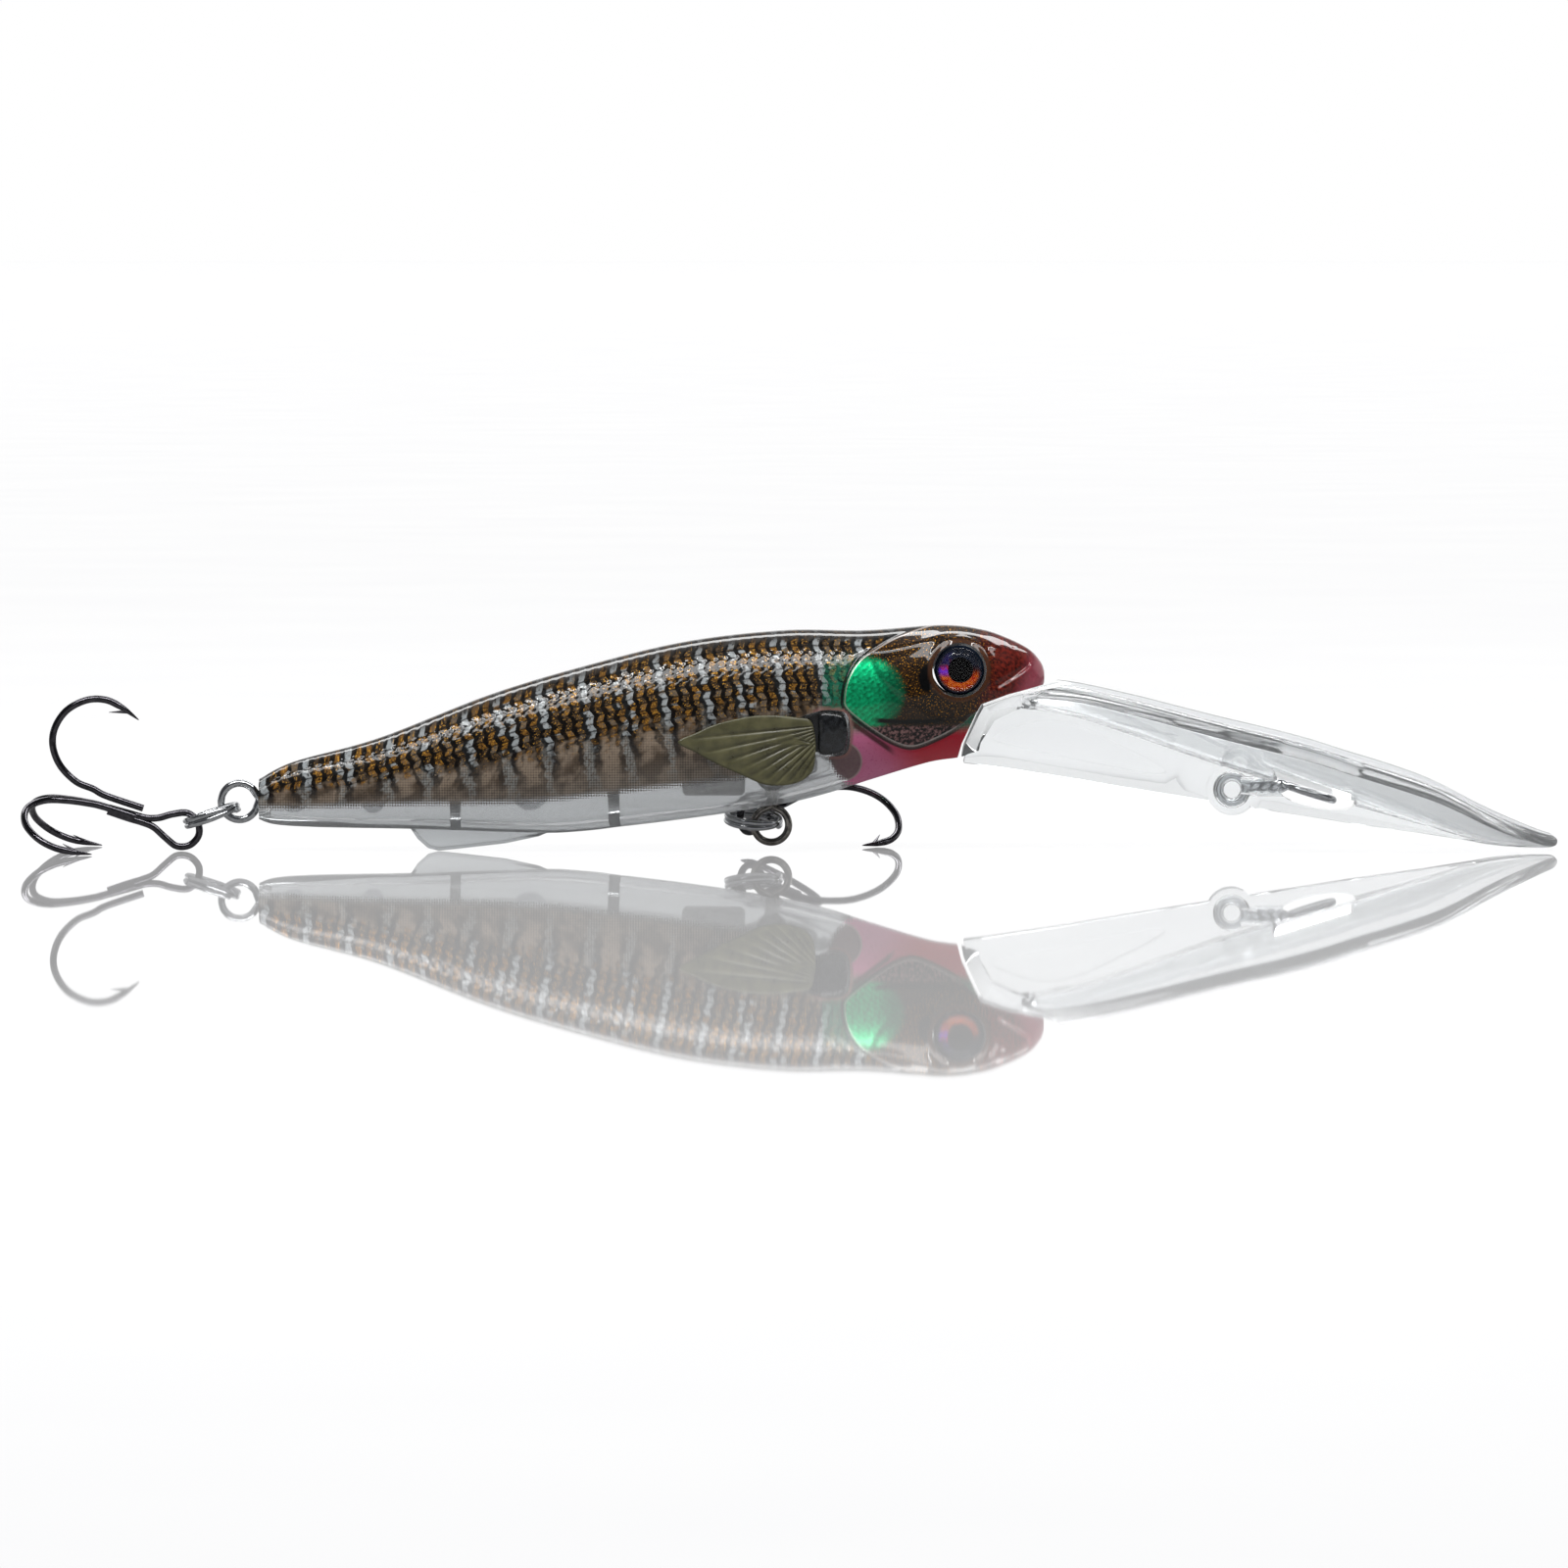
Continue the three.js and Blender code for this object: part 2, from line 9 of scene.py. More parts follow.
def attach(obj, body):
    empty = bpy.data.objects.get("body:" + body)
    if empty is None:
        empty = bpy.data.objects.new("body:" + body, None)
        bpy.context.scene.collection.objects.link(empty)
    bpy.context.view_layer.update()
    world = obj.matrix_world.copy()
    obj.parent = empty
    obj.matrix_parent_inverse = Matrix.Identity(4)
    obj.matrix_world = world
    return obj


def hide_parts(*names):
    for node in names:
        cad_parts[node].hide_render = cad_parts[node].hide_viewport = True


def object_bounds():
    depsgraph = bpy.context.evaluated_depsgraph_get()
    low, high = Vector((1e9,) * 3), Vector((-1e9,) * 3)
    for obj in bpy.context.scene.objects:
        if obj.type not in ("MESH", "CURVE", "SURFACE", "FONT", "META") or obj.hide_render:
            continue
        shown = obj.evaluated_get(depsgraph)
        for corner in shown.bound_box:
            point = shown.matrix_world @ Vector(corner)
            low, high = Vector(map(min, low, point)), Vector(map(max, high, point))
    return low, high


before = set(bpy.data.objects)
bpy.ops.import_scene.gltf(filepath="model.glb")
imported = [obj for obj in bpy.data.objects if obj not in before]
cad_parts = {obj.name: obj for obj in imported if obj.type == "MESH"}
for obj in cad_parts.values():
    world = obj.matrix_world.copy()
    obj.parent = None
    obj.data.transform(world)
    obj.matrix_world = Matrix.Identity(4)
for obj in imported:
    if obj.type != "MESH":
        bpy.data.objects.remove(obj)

bl_info = {
    "name": "Deep-diving lure",
    "version": (1, 0, 0),
    "blender": (4, 5, 0),
    "location": "3D View > Sidebar > Lure",
    "description": "Builds the fine pieces of a crankbait lure round its packed frame",
    "category": "Add Mesh",
}

CAD_BOX = [list(corner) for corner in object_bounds()]

# ------------------------------------------------------------------ places
# Pieces are drawn in millimetres with X = 0 at the middle of the whole lure and Z = 0 at the
# surface that it lies on. The frame's origin is the line tie, at this point of the drawing.

LINE_TIE = (60.2, 0.0, 6.7)
MM = 0.001
RIGHT, LEFT = -1, 1
SIDES = (("right", RIGHT), ("left", LEFT))


def to_frame(points):
    """Drawing millimetres to metres of the frame."""
    return (np.asarray(points, float) - np.array(LINE_TIE)) * MM


def track(points, steps=10):
    """A size that follows smooth points along X, as a function of an array of X."""
    p = np.asarray(points, float)
    t = np.linspace(0, len(p) - 1, len(p) * steps + 1)
    k = np.minimum(np.floor(t).astype(int), len(p) - 1)
    w = (t - k)[:, None]
    a, b = p[np.maximum(k - 1, 0)], p[k]
    c, d = p[np.minimum(k + 1, len(p) - 1)], p[np.minimum(k + 2, len(p) - 1)]
    v0, v1 = (c - a) / 2, (d - b) / 2
    s = (2 * b - 2 * c + v0 + v1) * w ** 3 + (-3 * b + 3 * c - 2 * v0 - v1) * w ** 2 + v0 * w + b
    return lambda x: np.interp(x, s[:, 0], s[:, 1])


def smooth(points, per=8, closed=False):
    """Points of a Catmull-Rom curve through a few given ones."""
    p = np.asarray(points, float)
    n = len(p)
    out = []
    for i in range(n if closed else n - 1):
        if closed:
            a, b, c, d = (p[(i + k) % n] for k in (-1, 0, 1, 2))
        else:
            a, b, c, d = p[max(i - 1, 0)], p[i], p[i + 1], p[min(i + 2, n - 1)]
        for t in np.arange(per) / per:
            v0, v1 = (c - a) / 2, (d - b) / 2
            out.append((2 * b - 2 * c + v0 + v1) * t ** 3 + (-3 * b + 3 * c - 2 * v0 - v1) * t ** 2 + v0 * t + b)
    if not closed:
        out.append(p[-1])
    return np.array(out)


def ease(low, high, value):
    """0 below low, 1 above high, and smooth between them."""
    t = np.clip((value - low) / (high - low), 0, 1)
    return t * t * (3 - 2 * t)


def line_distance(x, z, line):
    """Signed distance of points to a polyline in X and Z: positive on its left as it is walked."""
    best = np.full(np.shape(x), 1e9)
    sign = np.ones(np.shape(x))
    for (x0, z0), (x1, z1) in zip(line[:-1], line[1:]):
        dx, dz = x1 - x0, z1 - z0
        t = np.clip(((x - x0) * dx + (z - z0) * dz) / (dx * dx + dz * dz), 0, 1)
        off = np.hypot(x - x0 - t * dx, z - z0 - t * dz)
        nearer = off < best
        best = np.where(nearer, off, best)
        sign = np.where(nearer, np.sign(dx * (z - z0) - dz * (x - x0)), sign)
    return best * sign


# ------------------------------------------------------------------ meshes


def mesh_object(name, points, faces, edges=(), finish=None, smooth_shade=True):
    """A mesh at the origin, from drawing millimetres."""
    mesh = bpy.data.meshes.new(name)
    mesh.from_pydata(to_frame(points).tolist(), [tuple(e) for e in edges], [tuple(f) for f in faces])
    mesh.update()
    if smooth_shade:
        mesh.shade_smooth()
    obj = bpy.data.objects.new(name, mesh)
    bpy.context.scene.collection.objects.link(obj)
    if finish:
        mesh.materials.append(finish)
    return obj


def outward(obj):
    """Faces of a closed mesh pointing out."""
    bm = bmesh.new()
    bm.from_mesh(obj.data)
    bmesh.ops.recalc_face_normals(bm, faces=bm.faces)
    bm.to_mesh(obj.data)
    bm.free()
    return obj


def grid_faces(rows, columns, base=0, wrap_columns=False):
    """Quads of a grid of points numbered row by row."""
    faces = []
    last = columns if wrap_columns else columns - 1
    for r in range(rows - 1):
        for c in range(last):
            d = (c + 1) % columns
            faces.append((base + r * columns + c, base + r * columns + d,
                          base + (r + 1) * columns + d, base + (r + 1) * columns + c))
    return faces


def slab(name, outline, y0, y1, finish=None, smooth_shade=False):
    """A plate with an outline in X and Z, between two distances from the middle plane."""
    n = len(outline)
    points = [(x, y, z) for y in (y0, y1) for x, z in outline]
    faces = [tuple(range(n)), tuple(range(2 * n - 1, n - 1, -1))]
    faces += [(i, n + i, n + (i + 1) % n, (i + 1) % n) for i in range(n)]
    return outward(mesh_object(name, points, faces, finish=finish, smooth_shade=smooth_shade))


def turned(name, profile, centre, axis, finish=None, sides=48):
    """A closed lathe shape: profile pairs are distance from the axis and place along it."""
    axis = Vector(axis).normalized()
    across = axis.orthogonal().normalized()
    up = axis.cross(across)
    points, faces, rings = [], [], []
    for r, h in profile:
        ring = []
        for k in range(1 if r == 0 else sides):
            a = 2 * math.pi * k / sides
            ring.append(len(points))
            points.append(tuple(Vector(centre) + axis * h + (across * math.cos(a) + up * math.sin(a)) * r))
        rings.append(ring)
    for low, high in zip(rings[:-1], rings[1:]):
        for k in range(sides):
            d = (k + 1) % sides
            if len(low) == 1:
                faces.append((low[0], high[d], high[k]))
            elif len(high) == 1:
                faces.append((low[k], low[d], high[0]))
            else:
                faces.append((low[k], low[d], high[d], high[k]))
    return outward(mesh_object(name, points, faces, finish=finish))


def bake_modifiers(obj):
    """The evaluated mesh as the object's own mesh, with no modifiers left."""
    bpy.context.view_layer.update()
    depsgraph = bpy.context.evaluated_depsgraph_get()
    mesh = bpy.data.meshes.new_from_object(obj.evaluated_get(depsgraph))
    mesh.name = obj.name
    obj.modifiers.clear()
    obj.data = mesh
    return obj


def boolean(obj, other, operation="DIFFERENCE", solver="MANIFOLD"):
    """Joins or cuts with another closed mesh, which is then removed."""
    step = obj.modifiers.new("cut", "BOOLEAN")
    step.operation, step.solver, step.object = operation, solver, other
    bake_modifiers(obj)
    bpy.data.objects.remove(other)
    return obj


def bevelled(obj, width, segments=2, angle=40):
    step = obj.modifiers.new("edges", "BEVEL")
    step.width, step.segments = width * MM, segments
    step.limit_method, step.angle_limit = "ANGLE", math.radians(angle)
    bake_modifiers(obj)
    obj.data.shade_smooth()
    obj.data.set_sharp_from_angle(angle=math.radians(angle))
    return obj


def join_meshes(name, objects):
    """Several loose pieces of one moulding as one object."""
    bm = bmesh.new()
    for o in objects:
        bm.from_mesh(o.data)
    mesh = bpy.data.meshes.new(name)
    for m in objects[0].data.materials:
        mesh.materials.append(m)
    bm.to_mesh(mesh)
    bm.free()
    obj = bpy.data.objects.new(name, mesh)
    bpy.context.scene.collection.objects.link(obj)
    for o in objects:
        bpy.data.objects.remove(o)
    return obj


def store(obj, name, values):
    """One number per point for the finish to read."""
    data = obj.data.attributes.new(name, "FLOAT", "POINT")
    data.data.foreach_set("value", np.asarray(values, np.float32))


def drawn_points(obj):
    """The mesh's points in drawing millimetres."""
    co = np.zeros(len(obj.data.vertices) * 3, np.float32)
    obj.data.vertices.foreach_get("co", co)
    return co.reshape(-1, 3).astype(float) / MM + np.array(LINE_TIE)


def place(obj, body, slot, *nodes):
    """Puts a finished piece on its body, in the stead of its plain solids."""
    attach(obj, body)
    if nodes:
        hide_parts(*nodes)
    return obj


# ------------------------------------------------------------------ finishes


class Socket:
    """A shader value that takes part in ordinary arithmetic."""

    def __init__(self, shop, link):
        self.shop, self.link = shop, link

    def _math(self, operation, a, b=None):
        values = [a] if b is None else [a, b]
        return self.shop.node("ShaderNodeMath", {"operation": operation}, values)

    def __add__(self, other):
        return self._math("ADD", self, other)

    def __radd__(self, other):
        return self._math("ADD", other, self)

    def __sub__(self, other):
        return self._math("SUBTRACT", self, other)

    def __rsub__(self, other):
        return self._math("SUBTRACT", other, self)

    def __mul__(self, other):
        return self._math("MULTIPLY", self, other)

    def __rmul__(self, other):
        return self._math("MULTIPLY", other, self)

    def __gt__(self, other):
        return self._math("GREATER_THAN", self, other)

    def sine(self):
        return self._math("SINE", self)

    def absolute(self):
        return self._math("ABSOLUTE", self)

    def fraction(self):
        return self._math("FRACT", self)

    def whole(self):
        return self._math("FLOOR", self)

    def most(self, other):
        return self._math("MAXIMUM", self, other)

    def root(self):
        return self._math("SQRT", self.most(0.0))

    def ramp(self, low, high, to_low=0.0, to_high=1.0):
        """This value eased from one range to another, held at its ends."""
        settings = {"interpolation_type": "SMOOTHSTEP", "clamp": True}
        return self.shop.node("ShaderNodeMapRange", settings, [self, low, high, to_low, to_high])


class Finish:
    """One material, and the short words that its nodes are made with."""

    def __init__(self, name):
        self.material = bpy.data.materials.new(name)
        self.material.use_nodes = True
        self.tree = self.material.node_tree
        self.tree.nodes.clear()
        self.out = self.tree.nodes.new("ShaderNodeOutputMaterial")

    def node(self, kind, settings=None, values=(), output=0):
        """A node of a type, with its settings, then its sockets' values or links, by place or by name."""
        made = self.tree.nodes.new(kind)
        for key, value in (settings or {}).items():
            setattr(made, key, value)
        pairs = values.items() if isinstance(values, dict) else enumerate(values)
        for key, value in pairs:
            socket = made.inputs[key]
            if isinstance(value, Socket):
                self.tree.links.new(value.link, socket)
            elif value is not None:
                if socket.type == "RGBA" and len(value) == 3:
                    value = (*value, 1)
                socket.default_value = value
        return Socket(self, made.outputs[output])

    def mix(self, factor, a, b):
        """A colour between two."""
        settings = {"data_type": "RGBA", "blend_type": "MIX", "clamp_factor": True}
        return self.node("ShaderNodeMix", settings, {0: factor, 6: a, 7: b}, output=2)

    def attribute(self, name):
        return self.node("ShaderNodeAttribute", {"attribute_name": name}, output=2)

    def place(self):
        """Position on the piece in millimetres, as a vector."""
        here = self.node("ShaderNodeTexCoord", output=3)
        return self.node("ShaderNodeVectorMath", {"operation": "SCALE"}, {0: here, "Scale": 1000.0})

    def part(self, vector, axis):
        return self.node("ShaderNodeSeparateXYZ", None, [vector], output=axis)

    def vector(self, x, y, z=0.0):
        return self.node("ShaderNodeCombineXYZ", None, [x, y, z])

    def noise(self, vector, scale, detail=2.0, rough=0.5):
        values = {"Vector": vector, "Scale": scale, "Detail": detail, "Roughness": rough}
        return self.node("ShaderNodeTexNoise", None, values)

    def cells(self, vector, scale, output=0):
        values = {"Vector": vector, "Scale": scale}
        return self.node("ShaderNodeTexVoronoi", None, values, output=output)

    def bump(self, height, distance, strength=1.0):
        values = {"Strength": strength, "Distance": distance * MM, "Height": height}
        return self.node("ShaderNodeBump", None, values)

    def surface(self, **inputs):
        """A Principled surface: words are its sockets' names with _ for spaces."""
        values = {key.replace("_", " "): value for key, value in inputs.items()}
        return self.node("ShaderNodeBsdfPrincipled", None, values)

    def finish(self, shader):
        self.tree.links.new(shader.link, self.out.inputs["Surface"])
        return self.material


def colour(text):
    """A colour written as six hex digits, in linear light."""
    def linear(v):
        return v / 12.92 if v <= 0.04045 else ((v + 0.055) / 1.055) ** 2.4
    return tuple(linear(int(text[i:i + 2], 16) / 255) for i in (0, 2, 4))


# ------------------------------------------------------------------ wire by nodes


def wire_tree():
    """Geometry Nodes that sweep a round wire along paths, thinned by the paths' own taper."""
    tree = bpy.data.node_groups.new("round wire", "GeometryNodeTree")
    face = tree.interface
    face.new_socket("Paths", in_out="INPUT", socket_type="NodeSocketGeometry")
    radius = face.new_socket("Wire Radius", in_out="INPUT", socket_type="NodeSocketFloat")
    sides = face.new_socket("Sides", in_out="INPUT", socket_type="NodeSocketInt")
    flat = face.new_socket("Flattening", in_out="INPUT", socket_type="NodeSocketFloat")
    finish = face.new_socket("Finish", in_out="INPUT", socket_type="NodeSocketMaterial")
    face.new_socket("Wire", in_out="OUTPUT", socket_type="NodeSocketGeometry")
    radius.default_value, sides.default_value, flat.default_value = 0.0005, 16, 1.0

    def make(kind, **settings):
        node = tree.nodes.new(kind)
        for key, value in settings.items():
            setattr(node, key, value)
        return node

    given, result = make("NodeGroupInput"), make("NodeGroupOutput")
    paths = make("GeometryNodeMeshToCurve")
    taper = make("GeometryNodeInputNamedAttribute", data_type="FLOAT")
    taper.inputs["Name"].default_value = "taper"
    thick = make("ShaderNodeMath", operation="MULTIPLY")
    circle = make("GeometryNodeCurvePrimitiveCircle")
    circle.inputs["Radius"].default_value = 1.0
    squeeze = make("GeometryNodeTransform")
    scale = make("ShaderNodeCombineXYZ")
    scale.inputs["Y"].default_value = scale.inputs["Z"].default_value = 1.0
    sweep = make("GeometryNodeCurveToMesh")
    sweep.inputs["Fill Caps"].default_value = True
    shade = make("GeometryNodeSetShadeSmooth")
    real = make("GeometryNodeRealizeInstances")
    paint = make("GeometryNodeSetMaterial")
    for a, b in (
        (given.outputs["Paths"], paths.inputs["Mesh"]),
        (given.outputs["Wire Radius"], thick.inputs[0]),
        (taper.outputs["Attribute"], thick.inputs[1]),
        (given.outputs["Sides"], circle.inputs["Resolution"]),
        (given.outputs["Flattening"], scale.inputs["X"]),
        (scale.outputs[0], squeeze.inputs["Scale"]),
        (circle.outputs["Curve"], squeeze.inputs["Geometry"]),
        (paths.outputs["Curve"], sweep.inputs["Curve"]),
        (squeeze.outputs["Geometry"], sweep.inputs["Profile Curve"]),
        (thick.outputs[0], sweep.inputs["Scale"]),
        (sweep.outputs["Mesh"], shade.inputs["Geometry"]),
        (shade.outputs["Geometry"], real.inputs["Geometry"]),
        (real.outputs["Geometry"], paint.inputs["Geometry"]),
        (given.outputs["Finish"], paint.inputs["Material"]),
        (paint.outputs["Geometry"], result.inputs["Wire"]),
    ):
        tree.links.new(a, b)
    ids = {"radius": radius.identifier, "sides": sides.identifier,
           "flat": flat.identifier, "finish": finish.identifier}
    return tree, ids


def swept(name, paths, radius, finish, sides=16, flat=1.0):
    """Wires swept along paths. A path is (points, closed) or (points, closed, taper per point)."""
    points, edges, tapers = [], [], []
    for path in paths:
        line, closed = path[0], path[1]
        first = len(points)
        points += [tuple(p) for p in line]
        edges += [(first + i, first + i + 1) for i in range(len(line) - 1)]
        if closed:
            edges.append((len(points) - 1, first))
        tapers += list(path[2]) if len(path) > 2 else [1.0] * len(line)
    obj = mesh_object(name, points, [], edges=edges)
    store(obj, "taper", tapers)
    tree, ids = shared_wire_tree()
    step = obj.modifiers.new("wire", "NODES")
    step.node_group = tree
    step[ids["radius"]] = radius * MM
    step[ids["sides"]] = sides
    step[ids["flat"]] = flat
    step[ids["finish"]] = finish
    bake_modifiers(obj)
    return outward(welded(obj))


def welded(obj):
    """Doubled points merged, which closes the caps' seams."""
    bm = bmesh.new()
    bm.from_mesh(obj.data)
    bmesh.ops.remove_doubles(bm, verts=bm.verts, dist=1e-7)
    bm.to_mesh(obj.data)
    bm.free()
    return obj


TREES = {}


def shared_wire_tree():
    if "wire" not in TREES:
        TREES["wire"] = wire_tree()
    return TREES["wire"]


# ------------------------------------------------------------------ the fish's shape

TAIL_X, NOSE_X = -60.6, 29.6
BACK = [(-60.6, 8.3), (-56.6, 10.3), (-46.9, 13.0), (-34.1, 18.0), (-22.8, 21.4), (-11.6, 24.1),
        (-0.3, 25.4), (9, 25.4), (17.8, 26.0), (22.4, 25.5), (25.4, 24.5), (27.9, 23.2), (29.2, 21.8),
        (29.6, 20.8)]
BELLY = [(-60.6, 3.7), (-58.7, 3.1), (-53.9, 2.8), (-43.3, 2.6), (-30.4, 2.2), (-24, 2.3),
         (-11.6, 3.7), (-1.7, 5.2), (4.3, 6.6), (10, 8.4), (16.4, 10.3), (20.5, 11.0), (24.5, 12.6),
         (28, 16.4), (29.6, 19.6)]
SIDE = [(-60.6, 2.3), (-55, 2.9), (-45, 4.2), (-30, 5.5), (-12, 6.3), (5, 6.4), (14, 6.1), (20, 5.5),
        (25, 4.2), (28, 2.7), (29.6, 1.1)]
SECTION_POWER, BELLY_TAPER, KEEL_FLAT = 2.2, 0.28, 0.3
SEAM, FIT = 0.03, 0.3
back_height, belly_height, side_width = track(BACK), track(BELLY), track(SIDE)

JAW_LINE = [(19.6, 10.6), (20.1, 12.5), (21.7, 16.0), (22.3, 17.1), (25.4, 18.2), (28.7, 19.0), (31, 19.5)]
CHAMBERS = [(-59.2, -38.6), (-37.4, -20.5), (-19.2, 7.4), (8.6, 13.9), (15.1, 18.4)]
EYE = (19.8, 21.0)
SOCKET_R, EYE_FLOOR = 3.1, 4.2
FIN_POCKET = [(1.3, 11.6), (3.4, 11.35), (5.2, 11.1), (6.9, 11.6), (7.3, 13.8), (6.9, 16.0), (5.2, 16.5),
              (3.4, 16.3), (1.3, 15.4), (0.9, 13.5)]

# Lines drawn on the side of the head, in X and Z.
GILL_EDGE = smooth([(24.5, 27.5), (17.5, 26.3), (13.2, 25.0), (10.4, 23.6), (8.2, 22.0), (7.0, 20.0),
                    (6.6, 18.0),
                    (6.9, 16.6), (9.6, 14.4), (12.4, 12.7), (14.6, 12.2), (17.3, 13.2), (19.8, 14.6),
                    (22.0, 16.4), (25.0, 17.2), (31.0, 17.6)], 5)
CHEEK_CREASE = smooth([(9.6, 23.2), (10.2, 21.3), (11.6, 19.4), (13.6, 17.7), (16.2, 16.2), (18.6, 15.5),
                       (20.6, 15.9)], 5)
BROW = smooth([(8.4, 22.6), (11.8, 22.9), (15.6, 23.9), (18.4, 25.1), (21.6, 25.0), (24.0, 23.4)], 5)
MOUTH = smooth([(24.3, 19.3), (26.0, 20.3), (27.6, 21.4)], 5)
NOSTRIL = (25.9, 23.4)
FLANK_RIDGE = track([(-60.6, 7.0), (-58, 9.2), (-50, 10.9), (-42, 12.9), (-33, 15.2), (-23, 18.3),
                     (-11, 20.9), (1, 22.5), (7.3, 23.1)])


def section(x, angle, inset):
    """The skin, or a surface inside it: right half, from the keel at -90 to the back at 90 degrees."""
    top, bottom = back_height(x) - inset, belly_height(x) + inset
    middle, half = (top + bottom) / 2, (top - bottom) / 2
    s, c = np.sin(angle), np.cos(angle)
    up = np.sign(s) * np.abs(s) ** (2 / SECTION_POWER)
    depth = half + np.where(up < 0, KEEL_FLAT, 0)
    taper = 1 - BELLY_TAPER * np.minimum(up, 0) ** 2
    y = np.maximum(side_width(x) - inset, 0.05) * taper * np.abs(c) ** (2 / SECTION_POWER)
    return y, np.maximum(middle + depth * up, bottom)


def relief(x, z, y):
    """How far the skin stands out of its plain section: head plates, brow, nostril, lips and scales."""
    out = np.zeros(x.shape)
    gill = line_distance(x, z, GILL_EDGE)
    head = x > 6.0
    inside = np.where(head, ease(-0.12, 0.16, gill), 0)
    out += 0.24 * inside - 0.10 * np.exp(-((gill + 0.28) / 0.22) ** 2) * (x > 5.5)
    crease = line_distance(x, z, CHEEK_CREASE)
    out += inside * (0.13 * ease(-0.25, 0.25, crease) - 0.07 * np.exp(-((crease + 0.3) / 0.25) ** 2))
    brow = line_distance(x, z, BROW)
    out += inside * 0.16 * np.exp(-(brow / 0.55) ** 2)
    out += 0.22 * np.exp(-(((x - NOSTRIL[0]) / 0.9) ** 2 + ((z - NOSTRIL[1]) / 0.6) ** 2))
    out -= 0.14 * np.exp(-(((x - NOSTRIL[0] - 0.2) / 0.28) ** 2 + ((z - NOSTRIL[1] - 0.05) / 0.2) ** 2))
    lip = line_distance(x, z, MOUTH)
    out -= 0.20 * np.exp(-(lip / 0.32) ** 2) - 0.10 * np.exp(-((lip + 0.65) / 0.35) ** 2)
    ring = np.hypot(x - EYE[0], z - EYE[1])
    out += 0.12 * np.exp(-((ring - 3.45) / 0.3) ** 2)
    # Rows of scales run along the flank; they die away on the back's ridge, at the belly and the head.
    above = (z - FLANK_RIDGE(x)) / np.maximum(back_height(x) - FLANK_RIDGE(x), 1)
    depth = skin_row(x, y, z)
    row = depth / ROW_PITCH
    along = (x - depth * ROW_SLANT) / SCALES["pitch"] + STAGGER * np.abs(np.mod(row, 2) - 1)
    tooth = np.abs(np.mod(along, 1) - 0.5) * 2
    lap = np.mod(row + 0.8 * (1 - tooth), 1)
    cover = ease(0.0, 0.35, 1 - above) * (1 - ease(0.2, 0.9, inside)) * ease(4.2, 6.2, z)
    fade = ease(8.2, 6.0, x) * ease(-61.0, -57.5, x)
    out *= ease(0.05, 2.2, back_height(x) - z)
    out += SCALES["height"] * cover * fade * (lap - 0.5) * ease(0.0, 0.18, lap) * ease(-0.6, 0.1,
                                                                                       above + 0.45)
    # The belly is drawn in a little where the belly ring and treble swing up to it.
    out -= BELLY_DRAWN_IN * ease(6.2, 4.6, z) * ease(-22, -17, x) * ease(19, 14, x)
    return out


BELLY_DRAWN_IN = 0.16  # the solid model has no such hollow

# The settings of the scales, in millimetres.
SCALES = {"pitch": 1.22, "height": 0.11}
ROW_PITCH, ROW_SLANT, STAGGER = 0.84, 0.20, 0.32


def skin_row(x, y, z):
    """Distance down the flank from the middle of the back, for counting rows of scales."""
    return back_height(x) - z + 0.55 * np.maximum(0, 3 - y)


def loft(x0, x1, inset, rows, columns, raised=False):
    """Points of the right half's surface, ring by ring from tail to nose, keel to back."""
    u = np.linspace(0, 1, rows)
    if raised:
        u = 1 - (1 - u) ** 1.25
    x = (x0 + (x1 - x0) * u)[:, None] + np.zeros((1, columns))
    angle = np.linspace(-math.pi / 2, math.pi / 2, columns)[None, :] + np.zeros((rows, 1))
    y, z = section(x, angle, inset)
    if raised:
        out = relief(x, z, y)
        high, low = back_height(x), belly_height(x)
        lean = np.clip((z - (high + low) / 2) / np.maximum((high - low) / 2, 0.1), -1, 1)
        y = y + out * np.sqrt(1 - lean ** 2) * ease(0.0, 0.9, y)
        z = z + out * lean * ease(0.0, 1.2, y)
    return np.stack([x, -y, z], axis=-1)


def closed_half(name, x0, x1, inset, rows, columns, raised=False, seam=SEAM):
    """The right half as one closed solid: skin, flat middle face and both ends."""
    skin = loft(x0, x1, inset, rows, columns, raised)
    skin[..., 1] = np.minimum(skin[..., 1], -seam)
    points = skin.reshape(-1, 3).tolist()
    faces = grid_faces(rows, columns)
    last = (rows - 1) * columns
    for r in range(rows - 1):
        a, b = r * columns, (r + 1) * columns
        faces.append((a, b, b + columns - 1, a + columns - 1))
    faces.append(tuple(range(columns - 1, -1, -1)))
    faces.append(tuple(range(last, last + columns)))
    obj = mesh_object(name, points, faces)
    bm = bmesh.new()
    bm.from_mesh(obj.data)
    bmesh.ops.remove_doubles(bm, verts=bm.verts, dist=1e-7)
    bmesh.ops.recalc_face_normals(bm, faces=bm.faces)
    bm.to_mesh(obj.data)
    bm.free()
    return obj


# ------------------------------------------------------------------ finishes of the fish

CLEAR_BODY, CLEAR_BIB = 0.76, 0.93  # share of light that passes; the rest makes the plastic milky
PRINT_EDGE = track([(-60.6, 4.4), (-43.6, 5.0), (-30.4, 5.3), (-20.5, 6.3), (-11.5, 7.4), (-2.5, 8.6),
                    (2.2, 10.6),
                    (4.4, 10.9), (6.0, 8.2), (9, 6.6), (14, 7.4), (20, 8.5), (29.6, 14)])
BAR_PITCH, DOT_PITCH = 4.5, 0.30
CHEEK_PATCH = (9.3, 18.4)
CHEEK_MARK = (16.0, 20.1)


